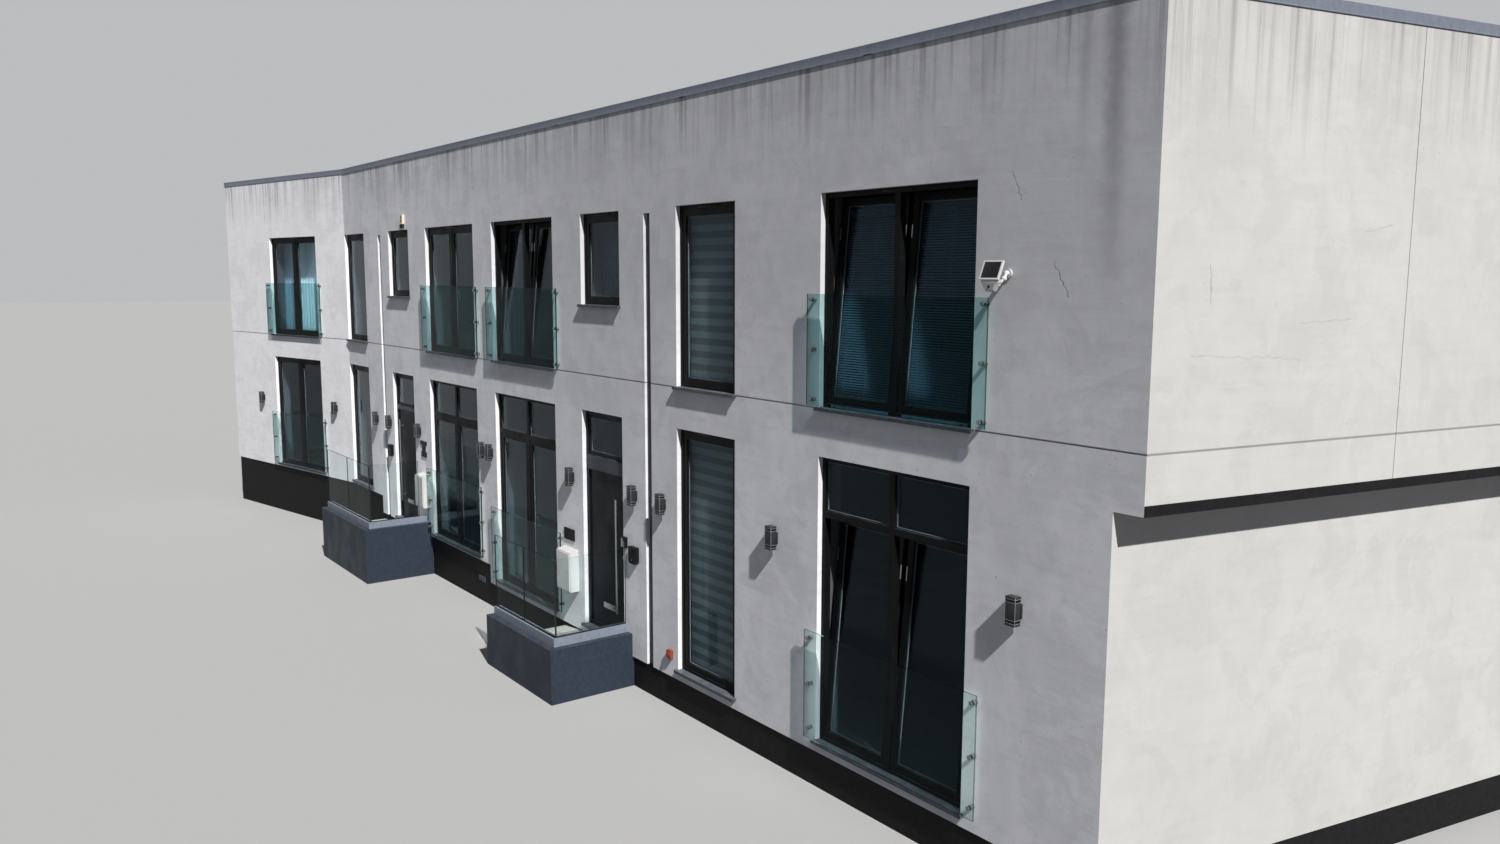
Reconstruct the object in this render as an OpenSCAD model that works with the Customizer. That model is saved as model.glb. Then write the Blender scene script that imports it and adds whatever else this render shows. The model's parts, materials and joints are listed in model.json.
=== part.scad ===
/* [Overall] */
// Depth of the houses from the street face to the rear face
house_depth = 7000; // [5600:100:8600]
// Thickness of the outside walls
wall_t = 300; // [240:10:380]
// Thickness of the wall between the two houses
party_t = 300; // [240:10:400]
// Distance from the party line to the right end of the ground-floor street face
right_reach = 10803; // [10600:10:12600]
// How far the upper right corner stands out beyond the ground-floor corner
gable_step = 250; // [150:10:320]
// Angle by which the right gable leans away from square
gable_skew = 11.3; // [0:0.1:14]
// Length of the left wing's street face
wing_length = 4900; // [4200:100:6400]
// Angle between the wing's street face and the main street face
wing_angle = 12; // [4:0.5:14]
// Clearance round slabs, frames and walls that meet at a slant
fit_gap = 0.3; // [0.1:0.1:0.8]

/* [Levels] */
// Ground floor of the right house above the lowest ground
floor_level = 480; // [440:10:580]
// How much higher the left house's ground floor lies
left_rise = 225; // [0:5:280]
// How far the base band's top lies below the right house's ground floor
base_drop = 108; // [60:2:108]
// How far the base band's top lies below the left house's lower sills
base_drop_left = 57; // [40:1:80]
// How much higher the wing's lower windows and base band lie
wing_rise = 315; // [100:5:340]
// Heads of the ground-floor windows and doors
lower_head = 3280; // [3000:10:3400]
// Sills of the upper windows, where the storeys meet
upper_sill = 3735; // [3700:5:4200]
// Sill of the small upper windows above the storey line
small_rise = 858; // [600:10:1100]
// Height of the upper windows from storey line to head
upper_height = 1980; // [1700:10:2100]
// Top of the parapet walls above the storey line
parapet_rise = 3153; // [3000:1:3500]
// Underside of the overhanging gable wall above the lowest ground
overhang_z = 3300; // [2900:10:3400]
// Underside of the top light's bar below the ground-floor heads
transom_drop = 585; // [450:5:700]

/* [Slabs and coping] */
// Thickness of the upper floor
floor_t = 290; // [200:10:320]
// Thickness of the flat roof
roof_t = 300; // [200:10:360]
// Underside of the flat roof above the upper window heads
roof_gap = 430; // [300:10:500]
// Height of the metal coping
coping_h = 92; // [60:2:140]
// Overhang of the coping on each side of the parapet
coping_lip = 9; // [8:1:40]
// Thickness of the coping's metal drip skirts
coping_skirt = 5; // [3:1:6]

/* [Bays measured from the party line] */
// Start of the French windows next to the party line
french_start = 325; // [280:5:500]
// Width of the French windows
french_w = 1885; // [1500:5:2000]
// Start of the small windows above the doors
small_start = 2970; // [2700:5:3100]
// Width of the small windows
small_w = 945; // [700:5:1000]
// Start of the entrance doorways
door_start = 2940; // [2900:5:3100]
// Width of the entrance doorways
door_w = 1000; // [900:5:1080]
// Start of the rainwater slot on the right house
slot_start_right = 4465; // [4420:5:4600]
// Start of the rainwater slot on the left house
slot_start_left = 4320; // [4200:5:4600]
// Start of the tall narrow windows on the right house
narrow_start_right = 5135; // [5000:5:5300]
// Start of the tall narrow windows on the left house
narrow_start_left = 5200; // [5100:5:5400]
// Width of the tall narrow windows
narrow_w = 1095; // [800:5:1200]
// Start of the outer French windows on the right house
outer_start = 7565; // [7000:5:7700]
// Start of the French windows along the left wing
wing_start = 1118; // [800:5:1300]

/* [Windows] */
// How far the window frames are set back from the wall face
reveal = 55; // [30:1:90]
// Depth of the window frames
frame_depth = 72; // [60:1:90]
// Face width of the outer frames
frame_face = 46; // [35:1:60]
// Face width of mullions and transoms
bar_face = 64; // [50:1:90]
// Face width of the sashes
sash_face = 66; // [50:1:80]
// Depth of the sashes
sash_depth = 58; // [45:1:70]
// Thickness of the sealed glass units
pane_t = 24; // [16:1:32]
// Angle of the sashes that are tilted inwards for air
tilt_angle = 5; // [0:0.5:8]
// Gap between a sash and its frame
sash_gap = 0.3; // [0.1:0.1:0.8]
// How far the sills stand out from the wall
sill_reach = 45; // [20:1:80]
// Thickness of the sills' metal plate
sill_t = 14; // [8:1:20]
// How far the sills run past the opening on each side
sill_horn = 28; // [10:1:50]
// Depth of the sills' turned-down front edge
sill_nose = 34; // [20:1:60]

/* [Glass guards] */
// How far a guard runs past its opening, on average
guard_lap = 150; // [100:5:170]
// How far the guards sit to the right of their openings
guard_shift = 40; // [0:5:60]
// Top of the upper guards above the sill
guard_top_upper = 1065; // [900:5:1200]
// Top of the ground-floor guards above the sill
guard_top_lower = 1106; // [900:5:1200]
// Bottom of the guards above the sill
guard_bottom = 30; // [10:5:80]
// Thickness of the guards' glass
guard_t = 17; // [10:1:22]
// Gap between the guards' glass and the wall, the length of a stand-off
standoff_len = 50; // [46:1:90]
// Radius of the stand-offs
standoff_r = 19; // [12:1:25]
// Distance from the glass edge to the stand-offs' centres
standoff_inset = 52; // [40:1:80]

/* [Entrance doors] */
// Clear height of the right doorway under its transom box
door_clear_right = 2055; // [1950:5:2200]
// Clear height of the left doorway under its transom box
door_clear_left = 1940; // [1900:5:2050]
// Underside of the top lights over the doors below the ground-floor heads
door_light_drop = 565; // [300:5:570]
// Face width of the beads that hold the glass of the top lights
light_bead = 40; // [20:1:60]
// How far the transom boxes stand out in front of the door frames
transom_reach = 12; // [4:1:20]
// Face width of the door frames
door_frame = 50; // [40:1:70]
// How far the frame's stop laps over the door leaf
door_stop = 14; // [8:1:20]
// Thickness of the door leaves
leaf_t = 55; // [40:1:60]
// Clearance round the door leaves
leaf_gap = 5; // [5:0.5:8]
// Height of the thresholds
threshold_h = 22; // [15:1:40]
// Length of the vertical bar handles
bar_len = 1440; // [800:10:1500]
// Radius of the bar handles
bar_r = 15; // [10:1:20]
// Distance from a leaf's face to its bar handle's centre
bar_reach = 52; // [40:1:60]

/* [Entrance platforms] */
// Distance from the party line to the right platform's open end
platform_start = 2344; // [2150:5:2500]
// Length of the right platform
platform_right_len = 1783; // [1650:5:1950]
// Length of the left platform
platform_left_len = 2333; // [2300:5:2600]
// How far the platforms stand out from the wall
platform_depth = 1098; // [900:5:1300]
// Thickness of the platforms' side walls
plinth_t = 200; // [200:5:260]
// Ledge of the platform walls above the ground floor
ledge_rise = 176; // [120:2:260]
// Height of the metal capping above the ledge
capping_h = 101; // [60:1:140]
// How far the capping is set back from the walls' faces
capping_inset = 92; // [60:1:110]
// Width of the capping
capping_w = 90; // [60:1:90]
// Thickness of the platforms' glass
platform_glass_t = 17; // [10:1:22]
// Distance from the capping's outer face to the glass
glass_inset = 30; // [10:1:40]
// Height of the glass above the capping
platform_glass_h = 929; // [800:5:1000]
// How far the landing lies below the ground floor
landing_drop = 112; // [110:2:160]
// Fall of the landing at its open end
landing_fall = 62; // [0:2:100]

/* [Rainwater pipes] */
// Width of the rainwater slots
slot_w = 135; // [110:1:160]
// Depth of the rainwater slots
slot_depth = 110; // [90:1:130]
// Top of the rainwater slots below the upper window heads
slot_drop = 53; // [0:1:150]
// Width of the pipes
pipe_w = 115; // [80:1:125]
// Depth of the pipes
pipe_d = 60; // [50:1:80]

/* [Small fittings] */
// Centre height of the wall lights
light_z = 2381; // [2100:5:2500]
// Width of the wall lights
light_w = 100; // [70:1:120]
// Height of the wall lights over both caps
light_h = 238; // [200:2:280]
// How far the wall lights stand out from the wall
light_d = 88; // [70:1:110]
// Height of the wall lights' body between the caps
light_body_h = 140; // [100:2:150]
// Width of the meter boxes
meter_w = 362; // [300:1:380]
// Height of the meter boxes
meter_h = 550; // [400:2:650]
// Depth of the meter boxes
meter_d = 124; // [90:1:160]
// Width of the post boxes
post_w = 170; // [130:1:180]
// Height of the post boxes
post_h = 205; // [160:1:260]
// Depth of the post boxes
post_d = 50; // [30:1:80]

/* [Blinds and curtains] */
// Depth of the slatted blinds on the tilted sashes
slat_blind_t = 20; // [14:1:30]
// Thickness of the striped blinds' cloth with its two layers
roller_cloth_t = 8; // [4:1:14]
// Height and depth of the striped blinds' cassette
cassette = 62; // [50:1:80]
// Gap between a window frame and the striped blind behind it
blind_gap = 14; // [8:1:30]
// Depth of a gathered curtain
curtain_t = 90; // [60:5:110]
// Height of the curtain rails above the window heads
rail_rise = 90; // [60:5:120]

/* [Hidden] */

// Small overrun that keeps cuts clean
eps = 1;
// Wall names used by the openings
FRONT = 0;
WING = 1;
REAR = 2;
// Window kinds
FRENCH = 0;
FRENCH_LIGHT = 1;
SINGLE = 2;
DOORWAY = 3;

// The origin lies on the party line, midway through the front wall
face_y = -wall_t / 2;
inner_y = wall_t / 2;
rear_y = face_y + house_depth;
rear_inner_y = rear_y - wall_t;
kink_x = -narrow_start_left - narrow_w;

left_floor = floor_level + left_rise;
base_right_z = floor_level - base_drop;
base_left_z = left_floor - base_drop_left;
wing_sill = left_floor + wing_rise;
base_wing_z = wing_sill - base_drop_left;
upper_head = upper_sill + upper_height;
small_sill = upper_sill + small_rise;
roof_z = upper_head + roof_gap;
parapet_z = upper_sill + parapet_rise;

// Plan points, with the gable leaning and the wing turned towards the street
function gable_x(reach, y) = reach + (y - face_y) * tan(gable_skew);
gable_across = wall_t / cos(gable_skew);
inner_reach = right_reach - gable_across;
wing_dir = [-cos(wing_angle), -sin(wing_angle)];
wing_in = [-sin(wing_angle), cos(wing_angle)];
kink = [kink_x, face_y];
wing_end = kink + wing_length * wing_dir;
// Point on a line parallel to the end wall, at a given height of the plan
function along_end(start, y) = start + wing_in * (y - start.y) / wing_in.y;
end_inner = wing_end - wall_t * wing_dir;
end_face = wing_end - (wall_t - fit_gap) * wing_dir;
// Inner corner where the wing's back face meets the front wall's back face
wing_line = kink + wall_t * wing_in;
kink_inner = wing_line + wing_dir * (inner_y - wing_line.y) / wing_dir.y;
end_corner = wing_line + (wing_length - wall_t) * wing_dir;

// An opening is wall, start, width, sill, head, kind and the tilt of its sashes
function mirrored(start, width) = -start - width;
// Rear windows repeat the narrow ones; starts count along the rear wall from the party line
rear_step = 2200;
rear_first = 3600;
rear_starts = [
    for (i = [0:3]) rear_first + i * rear_step,
    for (i = [0:3]) mirrored(rear_first + i * rear_step, narrow_w)
];
upper_openings = [
    [FRONT, french_start, french_w, upper_sill, upper_head, FRENCH, [1, 1]],
    [FRONT, mirrored(french_start, french_w), french_w, upper_sill, upper_head, FRENCH, [0, 0]],
    [FRONT, outer_start, french_w, upper_sill, upper_head, FRENCH, [1, 1]],
    [FRONT, small_start, small_w, small_sill, upper_head, SINGLE, [0]],
    [FRONT, mirrored(small_start, small_w), small_w, small_sill, upper_head, SINGLE, [0]],
    [FRONT, narrow_start_right, narrow_w, upper_sill, upper_head, SINGLE, [0]],
    [FRONT, kink_x, narrow_w, upper_sill, upper_head, SINGLE, [0]],
    [WING, mirrored(wing_start, french_w), french_w, upper_sill, upper_head, FRENCH, [0, 0]],
    for (x = rear_starts) [REAR, x, narrow_w, upper_sill + small_rise, upper_head, SINGLE, [0]]
];
lower_openings = [
    [FRONT, french_start, french_w, floor_level, lower_head, FRENCH_LIGHT, [0, 0]],
    [FRONT, outer_start, french_w, floor_level, lower_head, FRENCH_LIGHT, [1, 1]],
    [FRONT, narrow_start_right, narrow_w, floor_level, lower_head, SINGLE, [0]],
    [FRONT, mirrored(french_start, french_w), french_w, left_floor, lower_head, FRENCH_LIGHT, [0, 0]],
    [FRONT, kink_x, narrow_w, wing_sill, lower_head, SINGLE, [0]],
    [WING, mirrored(wing_start, french_w), french_w, wing_sill, lower_head, FRENCH, [0, 0]],
    for (x = rear_starts) [
        REAR, x, narrow_w, x < 0 ? floor_level : left_floor, lower_head, SINGLE, [0]
    ]
];
doorways = [
    [FRONT, door_start, door_w, floor_level, lower_head, DOORWAY, [0]],
    [FRONT, mirrored(door_start, door_w), door_w, left_floor, lower_head, DOORWAY, [0]]
];

function o_wall(o) = o[0];
function o_width(o) = o[2];
function o_sill(o) = o[3];
function o_height(o) = o[4] - o[3];
function o_kind(o) = o[5];
function is_french(o) = o_kind(o) == FRENCH || o_kind(o) == FRENCH_LIGHT;

// Puts children at an opening's lower left corner, with +y running into the wall
module at_opening(o) {
    if (o_wall(o) == FRONT)
        translate([o[1], face_y, o_sill(o)]) children();
    if (o_wall(o) == WING)
        translate([kink.x, kink.y, 0]) rotate([0, 0, wing_angle]) translate([o[1], 0, o_sill(o)]) children();
    if (o_wall(o) == REAR)
        translate([0, rear_y, 0]) rotate([0, 0, 180]) translate([o[1], 0, o_sill(o)]) children();
}

// Cuts the openings of one wall
module cut_openings(list, wall) {
    for (o = list)
        if (o_wall(o) == wall)
            at_opening(o) translate([0, -eps, 0]) cube([o_width(o), wall_t + 2 * eps, o_height(o)]);
}

// Upright block standing on a plan outline
module block(points, z0, z1) {
    translate([0, 0, z0]) linear_extrude(height = z1 - z0) polygon(points);
}

// Block whose foot steps down to the lower base on the right house
module stepped_block(points, z1) {
    block(points, base_left_z, z1);
    intersection() {
        block(points, base_right_z, base_left_z);
        translate([0, -house_depth, 0]) cube([2 * right_reach, 3 * house_depth, left_floor]);
    }
}

// Stretch of the main front wall
module front_block(x0, x1, z0, z1) {
    translate([x0, face_y, z0]) cube([x1 - x0, wall_t, z1 - z0]);
}

// Plan outlines of the wall strips
front_plan = [
    [kink_x, face_y], [gable_x(inner_reach, face_y), face_y],
    [gable_x(inner_reach, inner_y), inner_y], [kink_x, inner_y]
];
wing_plan = [
    wing_end - wall_t * wing_dir, kink, [kink_x, inner_y], kink_inner, end_corner
];
function gable_plan(reach) = [
    [gable_x(reach, face_y), face_y], [gable_x(reach, rear_y), rear_y],
    [gable_x(inner_reach + fit_gap, rear_y), rear_y], [gable_x(inner_reach + fit_gap, face_y), face_y]
];
end_plan = [
    wing_end, end_face, along_end(end_face, rear_y), along_end(wing_end, rear_y)
];
rear_plan = [
    [gable_x(inner_reach, rear_inner_y), rear_inner_y], [gable_x(inner_reach, rear_y), rear_y],
    along_end(end_inner, rear_y), along_end(end_inner, rear_inner_y)
];
party_plan = [
    [-party_t / 2, inner_y], [party_t / 2, inner_y],
    [party_t / 2, rear_inner_y], [-party_t / 2, rear_inner_y]
];
room_right_plan = [
    [party_t / 2, inner_y], [gable_x(inner_reach, inner_y), inner_y],
    [gable_x(inner_reach, rear_inner_y), rear_inner_y], [party_t / 2, rear_inner_y]
];
room_left_plan = [
    [-party_t / 2, inner_y], [-party_t / 2, rear_inner_y],
    along_end(end_inner, rear_inner_y), end_corner, kink_inner
];
roof_plan = [
    kink_inner, [gable_x(inner_reach, inner_y), inner_y],
    [gable_x(inner_reach, rear_inner_y), rear_inner_y],
    along_end(end_inner, rear_inner_y), end_corner
];
function outer_plan(reach) = [
    kink, [gable_x(reach, face_y), face_y], [gable_x(reach, rear_y), rear_y],
    along_end(wing_end, rear_y), wing_end
];

// Outline moved inwards by a distance, corner by corner
function unit(v) = v / norm(v);
function inward(a, b) = [a.y - b.y, b.x - a.x] / norm(b - a);
function inset(p, d) = [
    for (i = [0:len(p) - 1])
        let (
            n = len(p),
            before = inward(p[(i + n - 1) % n], p[i]),
            after = inward(p[i], p[(i + 1) % n])
        )
        p[i] + d * (before + after) / (1 + before * after)
];

// Slot for a rainwater pipe
module rain_slot(start) {
    translate([start, face_y - eps, 0])
        cube([slot_w, slot_depth + eps, upper_head - slot_drop]);
}
slot_right_x = slot_start_right;
slot_left_x = mirrored(slot_start_left, slot_w);
module rain_slots() {
    rain_slot(slot_right_x);
    rain_slot(slot_left_x);
}

// Shadow groove along the storey line, cut from the foot of the upper walls
joint_h = 8;
joint_d = 6;
module storey_joint() {
    translate([kink_x - eps, face_y - eps, upper_sill - eps])
        cube([2 * right_reach, joint_d + eps, joint_h + eps]);
    translate([kink.x, kink.y, 0]) rotate([0, 0, wing_angle])
        translate([-wing_length - eps, -eps, upper_sill - eps])
            cube([wing_length + 2 * eps, joint_d + eps, joint_h + eps]);
}

render_color = [0.66, 0.66, 0.69];
band_color = [0.04, 0.04, 0.045];
frame_color = [0.05, 0.055, 0.06];
concrete_color = [0.6, 0.6, 0.58];
metal_color = [0.33, 0.36, 0.41];
cladding_color = [0.13, 0.16, 0.2];
glass_color = [0.55, 0.72, 0.7, 0.4];

// Dark base walls, set back under the render; they rise to the wing left of the step
base_setback = 20;
step_gap = 23;
step_x = mirrored(platform_start, platform_left_len) - step_gap;
function base_at(x) = x < step_x ? base_wing_z : x < 0 ? base_left_z : base_right_z;
module base_walls() {
    color(band_color) {
        base_ring(right_base_plan, room_right_plan, base_right_z);
        difference() {
            base_ring(left_base_plan, room_left_plan, base_wing_z);
            translate([step_x, -house_depth, base_left_z])
                cube([right_reach, 3 * house_depth, base_wing_z]);
            block(rear_foot_plan, base_left_z, base_wing_z + eps);
        }
    }
}
module base_ring(outside, hole, top) {
    difference() {
        block(outside, 0, top);
        block(hole, -eps, top + eps);
    }
}
base_outline = inset(outer_plan(right_reach), base_setback);
right_base_plan = [
    [0, base_outline[1].y], base_outline[1], base_outline[2], [0, base_outline[2].y]
];
left_base_plan = [
    [0, base_outline[0].y], [0, base_outline[2].y], base_outline[3], base_outline[4], base_outline[0]
];
// The rear wall keeps the lower base
rear_foot_plan = [
    [0, rear_inner_y - eps], [0, rear_y + eps],
    along_end(end_face, rear_y + eps), along_end(end_face, rear_inner_y - eps)
];

module ground_floor_right() {
    color(concrete_color) block(inset(room_right_plan, fit_gap), 0, floor_level);
}
module ground_floor_left() {
    color(concrete_color) block(inset(room_left_plan, fit_gap), 0, left_floor);
}

module front_wall_lower_left() {
    color(render_color) difference() {
        union() {
            front_block(kink_x, step_x, base_wing_z, upper_sill);
            front_block(step_x, mirrored(door_start, door_w), base_left_z, upper_sill);
        }
        cut_openings(lower_openings, FRONT);
        rain_slots();
    }
}
module front_wall_lower_middle() {
    color(render_color) difference() {
        union() {
            front_block(-door_start, 0, base_left_z, upper_sill);
            front_block(0, door_start, base_right_z, upper_sill);
        }
        cut_openings(lower_openings, FRONT);
    }
}
module front_wall_lower_right() {
    color(render_color) difference() {
        intersection() {
            block(front_plan, base_right_z, upper_sill);
            front_block(door_start + door_w, 2 * right_reach, 0, upper_sill);
        }
        cut_openings(lower_openings, FRONT);
        rain_slots();
    }
}
// Lintel over each doorway and the strip of wall under its threshold
module door_surrounds() {
    color(render_color) for (o = doorways) {
        front_block(o[1], o[1] + o_width(o), lower_head, upper_sill);
        front_block(o[1], o[1] + o_width(o), base_at(o[1]), o_sill(o));
    }
}
module wing_wall_lower() {
    color(render_color) difference() {
        block(wing_plan, base_wing_z, upper_sill);
        cut_openings(lower_openings, WING);
    }
}
module front_wall_upper() {
    color(render_color) difference() {
        block(front_plan, upper_sill, parapet_z);
        cut_openings(upper_openings, FRONT);
        rain_slots();
        storey_joint();
    }
}
module wing_wall_upper() {
    color(render_color) difference() {
        block(wing_plan, upper_sill, parapet_z);
        cut_openings(upper_openings, WING);
        storey_joint();
    }
}
module gable_wall_lower() {
    color(render_color) block(gable_plan(right_reach), base_right_z, overhang_z);
}
// The upper gable overhangs the lower one and carries a vertical render joint
gable_joint_at = 2615;
module gable_wall_upper() {
    color(render_color) difference() {
        block(gable_plan(right_reach + gable_step), overhang_z, parapet_z);
        translate([gable_x(right_reach + gable_step, face_y), face_y, 0])
            rotate([0, 0, -gable_skew])
                translate([-joint_d, gable_joint_at, overhang_z - eps])
                    cube([2 * joint_d, joint_h, parapet_z]);
        storey_joint();
    }
}
module end_wall() {
    color(render_color) block(end_plan, base_wing_z, parapet_z);
}
module party_wall() {
    color(render_color) stepped_block(party_plan, roof_z);
}
module rear_wall_lower() {
    color(render_color) difference() {
        stepped_block(rear_plan, upper_sill);
        cut_openings(lower_openings, REAR);
    }
}
module rear_wall_upper() {
    color(render_color) difference() {
        block(rear_plan, upper_sill, parapet_z);
        cut_openings(upper_openings, REAR);
    }
}
module upper_floor_right() {
    color(concrete_color) block(inset(room_right_plan, fit_gap), upper_sill - floor_t, upper_sill);
}
module upper_floor_left() {
    color(concrete_color) block(inset(room_left_plan, fit_gap), upper_sill - floor_t, upper_sill);
}
module roof_slab() {
    color(concrete_color) block(inset(roof_plan, fit_gap), roof_z, roof_z + roof_t);
}

// Folded metal coping: a cap over the parapet with drip skirts on both sides
module coping() {
    top_outline = outer_plan(right_reach + gable_step);
    color(metal_color) difference() {
        block(inset(top_outline, -coping_lip), parapet_z - coping_h / 2, parapet_z + coping_h / 2);
        block(inset(roof_plan, coping_lip), parapet_z - coping_h, parapet_z + coping_h);
        difference() {
            block(inset(top_outline, coping_skirt - coping_lip), parapet_z - coping_h, parapet_z);
            block(inset(roof_plan, coping_lip - coping_skirt), parapet_z - coping_h, parapet_z);
        }
    }
}

// Clear cells of a window's frame, each as x, z, width and height
function half_w(o) = (o_width(o) - 2 * frame_face - bar_face) / 2;
function leaf_top(o) = o_kind(o) == FRENCH_LIGHT ? o_height(o) - transom_drop : o_height(o) - frame_face;
function leaf_cells(o) = is_french(o)
    ? [
        for (i = [0, 1])
            [frame_face + i * (half_w(o) + bar_face), frame_face, half_w(o), leaf_top(o) - frame_face]
    ]
    : [[frame_face, frame_face, o_width(o) - 2 * frame_face, leaf_top(o) - frame_face]];
function light_cells(o) = o_kind(o) == FRENCH_LIGHT
    ? [
        for (c = leaf_cells(o))
            [c[0], leaf_top(o) + bar_face, c[2], transom_drop - bar_face - frame_face]
    ]
    : [];

module window_frame(o) {
    at_opening(o) translate([0, reveal, 0]) difference() {
        translate([fit_gap, 0, 0]) cube([o_width(o) - 2 * fit_gap, frame_depth, o_height(o)]);
        for (c = concat(leaf_cells(o), light_cells(o)))
            translate([c[0], -eps, c[1]]) cube([c[2], frame_depth + 2 * eps, c[3]]);
    }
}

// Places children at the lower left corner of a sash, tilted inwards where the list says so
sash_setback = 7;
module at_sash(o, i) {
    c = leaf_cells(o)[i];
    tilt = o[6][i] * tilt_angle;
    at_opening(o)
        translate([c[0] + sash_gap, reveal + sash_setback, c[1] + sash_gap + sash_depth * sin(tilt)])
            rotate([-tilt, 0, 0]) children();
}
function sash_w(o, i) = leaf_cells(o)[i][2] - 2 * sash_gap;
function sash_h(o, i) = leaf_cells(o)[i][3] - 2 * sash_gap;

module sashes(o) {
    for (i = [0:len(leaf_cells(o)) - 1])
        at_sash(o, i) difference() {
            cube([sash_w(o, i), sash_depth, sash_h(o, i)]);
            translate([sash_face, -eps, sash_face])
                cube([sash_w(o, i) - 2 * sash_face, sash_depth + 2 * eps, sash_h(o, i) - 2 * sash_face]);
        }
}

module panes(o) {
    for (i = [0:len(leaf_cells(o)) - 1])
        at_sash(o, i) translate([sash_face, (sash_depth - pane_t) / 2, sash_face])
            cube([sash_w(o, i) - 2 * sash_face, pane_t, sash_h(o, i) - 2 * sash_face]);
    for (c = light_cells(o))
        at_opening(o) translate([c[0], reveal + (frame_depth - pane_t) / 2, c[1]])
            cube([c[2], pane_t, c[3]]);
}

// Folded metal sill: a plate through the reveal with horns and a turned-down nose
module sill_up_to(o, right) {
    at_opening(o) {
        translate([fit_gap, 0, 0]) cube([o_width(o) - 2 * fit_gap, reveal, sill_t]);
        translate([fit_gap, -sill_t, 0])
            cube([min(o_width(o), right) - 2 * fit_gap, 2 * sill_t, sill_t]);
        translate([sill_left(o), -sill_reach, 0])
            cube([right - sill_left(o), sill_reach - fit_gap, sill_t]);
        translate([sill_left(o), -sill_reach, sill_t - sill_nose])
            cube([right - sill_left(o), sill_t / 2, sill_nose]);
    }
}
// The window at the kink has no left horn, because the wing's face starts there
function sill_left(o) = o_wall(o) == FRONT && o[1] == kink_x ? fit_gap : -sill_horn;
module sill(o) {
    sill_up_to(o, o_width(o) + sill_horn);
}
// A door's sill stops at the platform's side wall
module door_sill(o, p) {
    sill_up_to(o, min(o_width(o) + sill_horn, p_x(p) + p_len(p) - plinth_t - fit_gap - o[1]));
}

function guarded(list) = [for (o = list) if (is_french(o)) o];
function guard_w(o) = o_width(o) + 2 * guard_lap;
module at_guard(o) {
    at_opening(o) translate([guard_shift - guard_lap, 0, guard_bottom]) children();
}
module guard_pane(o, top) {
    at_guard(o) translate([0, -standoff_len - guard_t, 0])
        cube([guard_w(o), guard_t, top - guard_bottom]);
}
// Round stand-offs with a cap in front of the glass, three on each side
standoff_cap = 9;
lower_foot_inset = 98;
lower_top_inset = 76;
module guard_bolts(o, top, foot_inset, top_inset) {
    h = top - guard_bottom;
    at_guard(o)
        for (x = [standoff_inset, guard_w(o) - standoff_inset])
            for (z = [foot_inset, h / 2, h - top_inset])
                translate([x, 0, z]) rotate([90, 0, 0]) {
                    cylinder(h = standoff_len, r = standoff_r, $fn = 24);
                    translate([0, 0, standoff_len + guard_t])
                        cylinder(h = standoff_cap, r = standoff_r, $fn = 24);
                }
}

module window_frames_upper() {
    color(frame_color) for (o = upper_openings) window_frame(o);
}
module window_frames_lower() {
    color(frame_color) for (o = lower_openings) window_frame(o);
}
module sashes_upper() {
    color(frame_color) for (o = upper_openings) sashes(o);
}
module sashes_lower() {
    color(frame_color) for (o = lower_openings) sashes(o);
}
module window_glass_upper() {
    color(glass_color) for (o = upper_openings) panes(o);
}
module window_glass_lower() {
    color(glass_color) for (o = lower_openings) panes(o);
}
module sills() {
    color(metal_color) {
        for (o = concat(upper_openings, lower_openings)) sill(o);
        door_sill(right_door, platform_right);
        door_sill(left_door, platform_left);
    }
}
module guard_glass_upper() {
    color(glass_color) for (o = guarded(upper_openings)) guard_pane(o, guard_top_upper);
}
module guard_glass_lower() {
    color(glass_color) for (o = guarded(lower_openings)) guard_pane(o, guard_top_lower);
}
module guard_standoffs() {
    color("silver") {
        for (o = guarded(upper_openings))
            guard_bolts(o, guard_top_upper, standoff_inset, standoff_inset);
        for (o = guarded(lower_openings))
            guard_bolts(o, guard_top_lower, lower_foot_inset, lower_top_inset);
    }
}

// Doors, drawn with the hinge on the left and mirrored for the left house
right_door = doorways[0];
left_door = doorways[1];
stop_d = 14;
leaf_y = reveal + stop_d + leaf_gap;
frame_back = reveal + stop_d + leaf_gap + leaf_t;
leaf_w = door_w - 2 * door_frame - 2 * leaf_gap;
leaf_z = threshold_h + leaf_gap;
function door_top(o) = o[1] > 0 ? door_clear_right : door_clear_left;
function top_light_z(o) = o_height(o) - door_light_drop;
top_light_h = door_light_drop - door_frame;
bead_d = 18;
function leaf_h(o) = door_top(o) - leaf_gap - leaf_z;
module flip_left(o) {
    if (o[1] < 0)
        translate([o_width(o), 0, 0]) mirror([1, 0, 0]) children();
    else
        children();
}
module at_door(o) {
    at_opening(o) flip_left(o) children();
}

module door_frame(o) {
    stop_face = door_frame + door_stop;
    at_door(o) difference() {
        translate([0, reveal, 0]) cube([door_w, frame_back - reveal, o_height(o)]);
        translate([stop_face, reveal - eps, threshold_h])
            cube([door_w - 2 * stop_face, frame_back, door_top(o) - door_stop - threshold_h]);
        translate([door_frame, reveal + stop_d, threshold_h])
            cube([door_w - 2 * door_frame, frame_back, door_top(o) - threshold_h]);
        translate([door_frame, reveal - eps, top_light_z(o)])
            cube([door_w - 2 * door_frame, bead_d + eps, top_light_h]);
        translate([door_frame + light_bead, reveal, top_light_z(o) + light_bead])
            cube([door_w - 2 * (door_frame + light_bead), frame_back, top_light_h - 2 * light_bead]);
    }
    at_door(o) transom_box(o);
}
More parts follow.
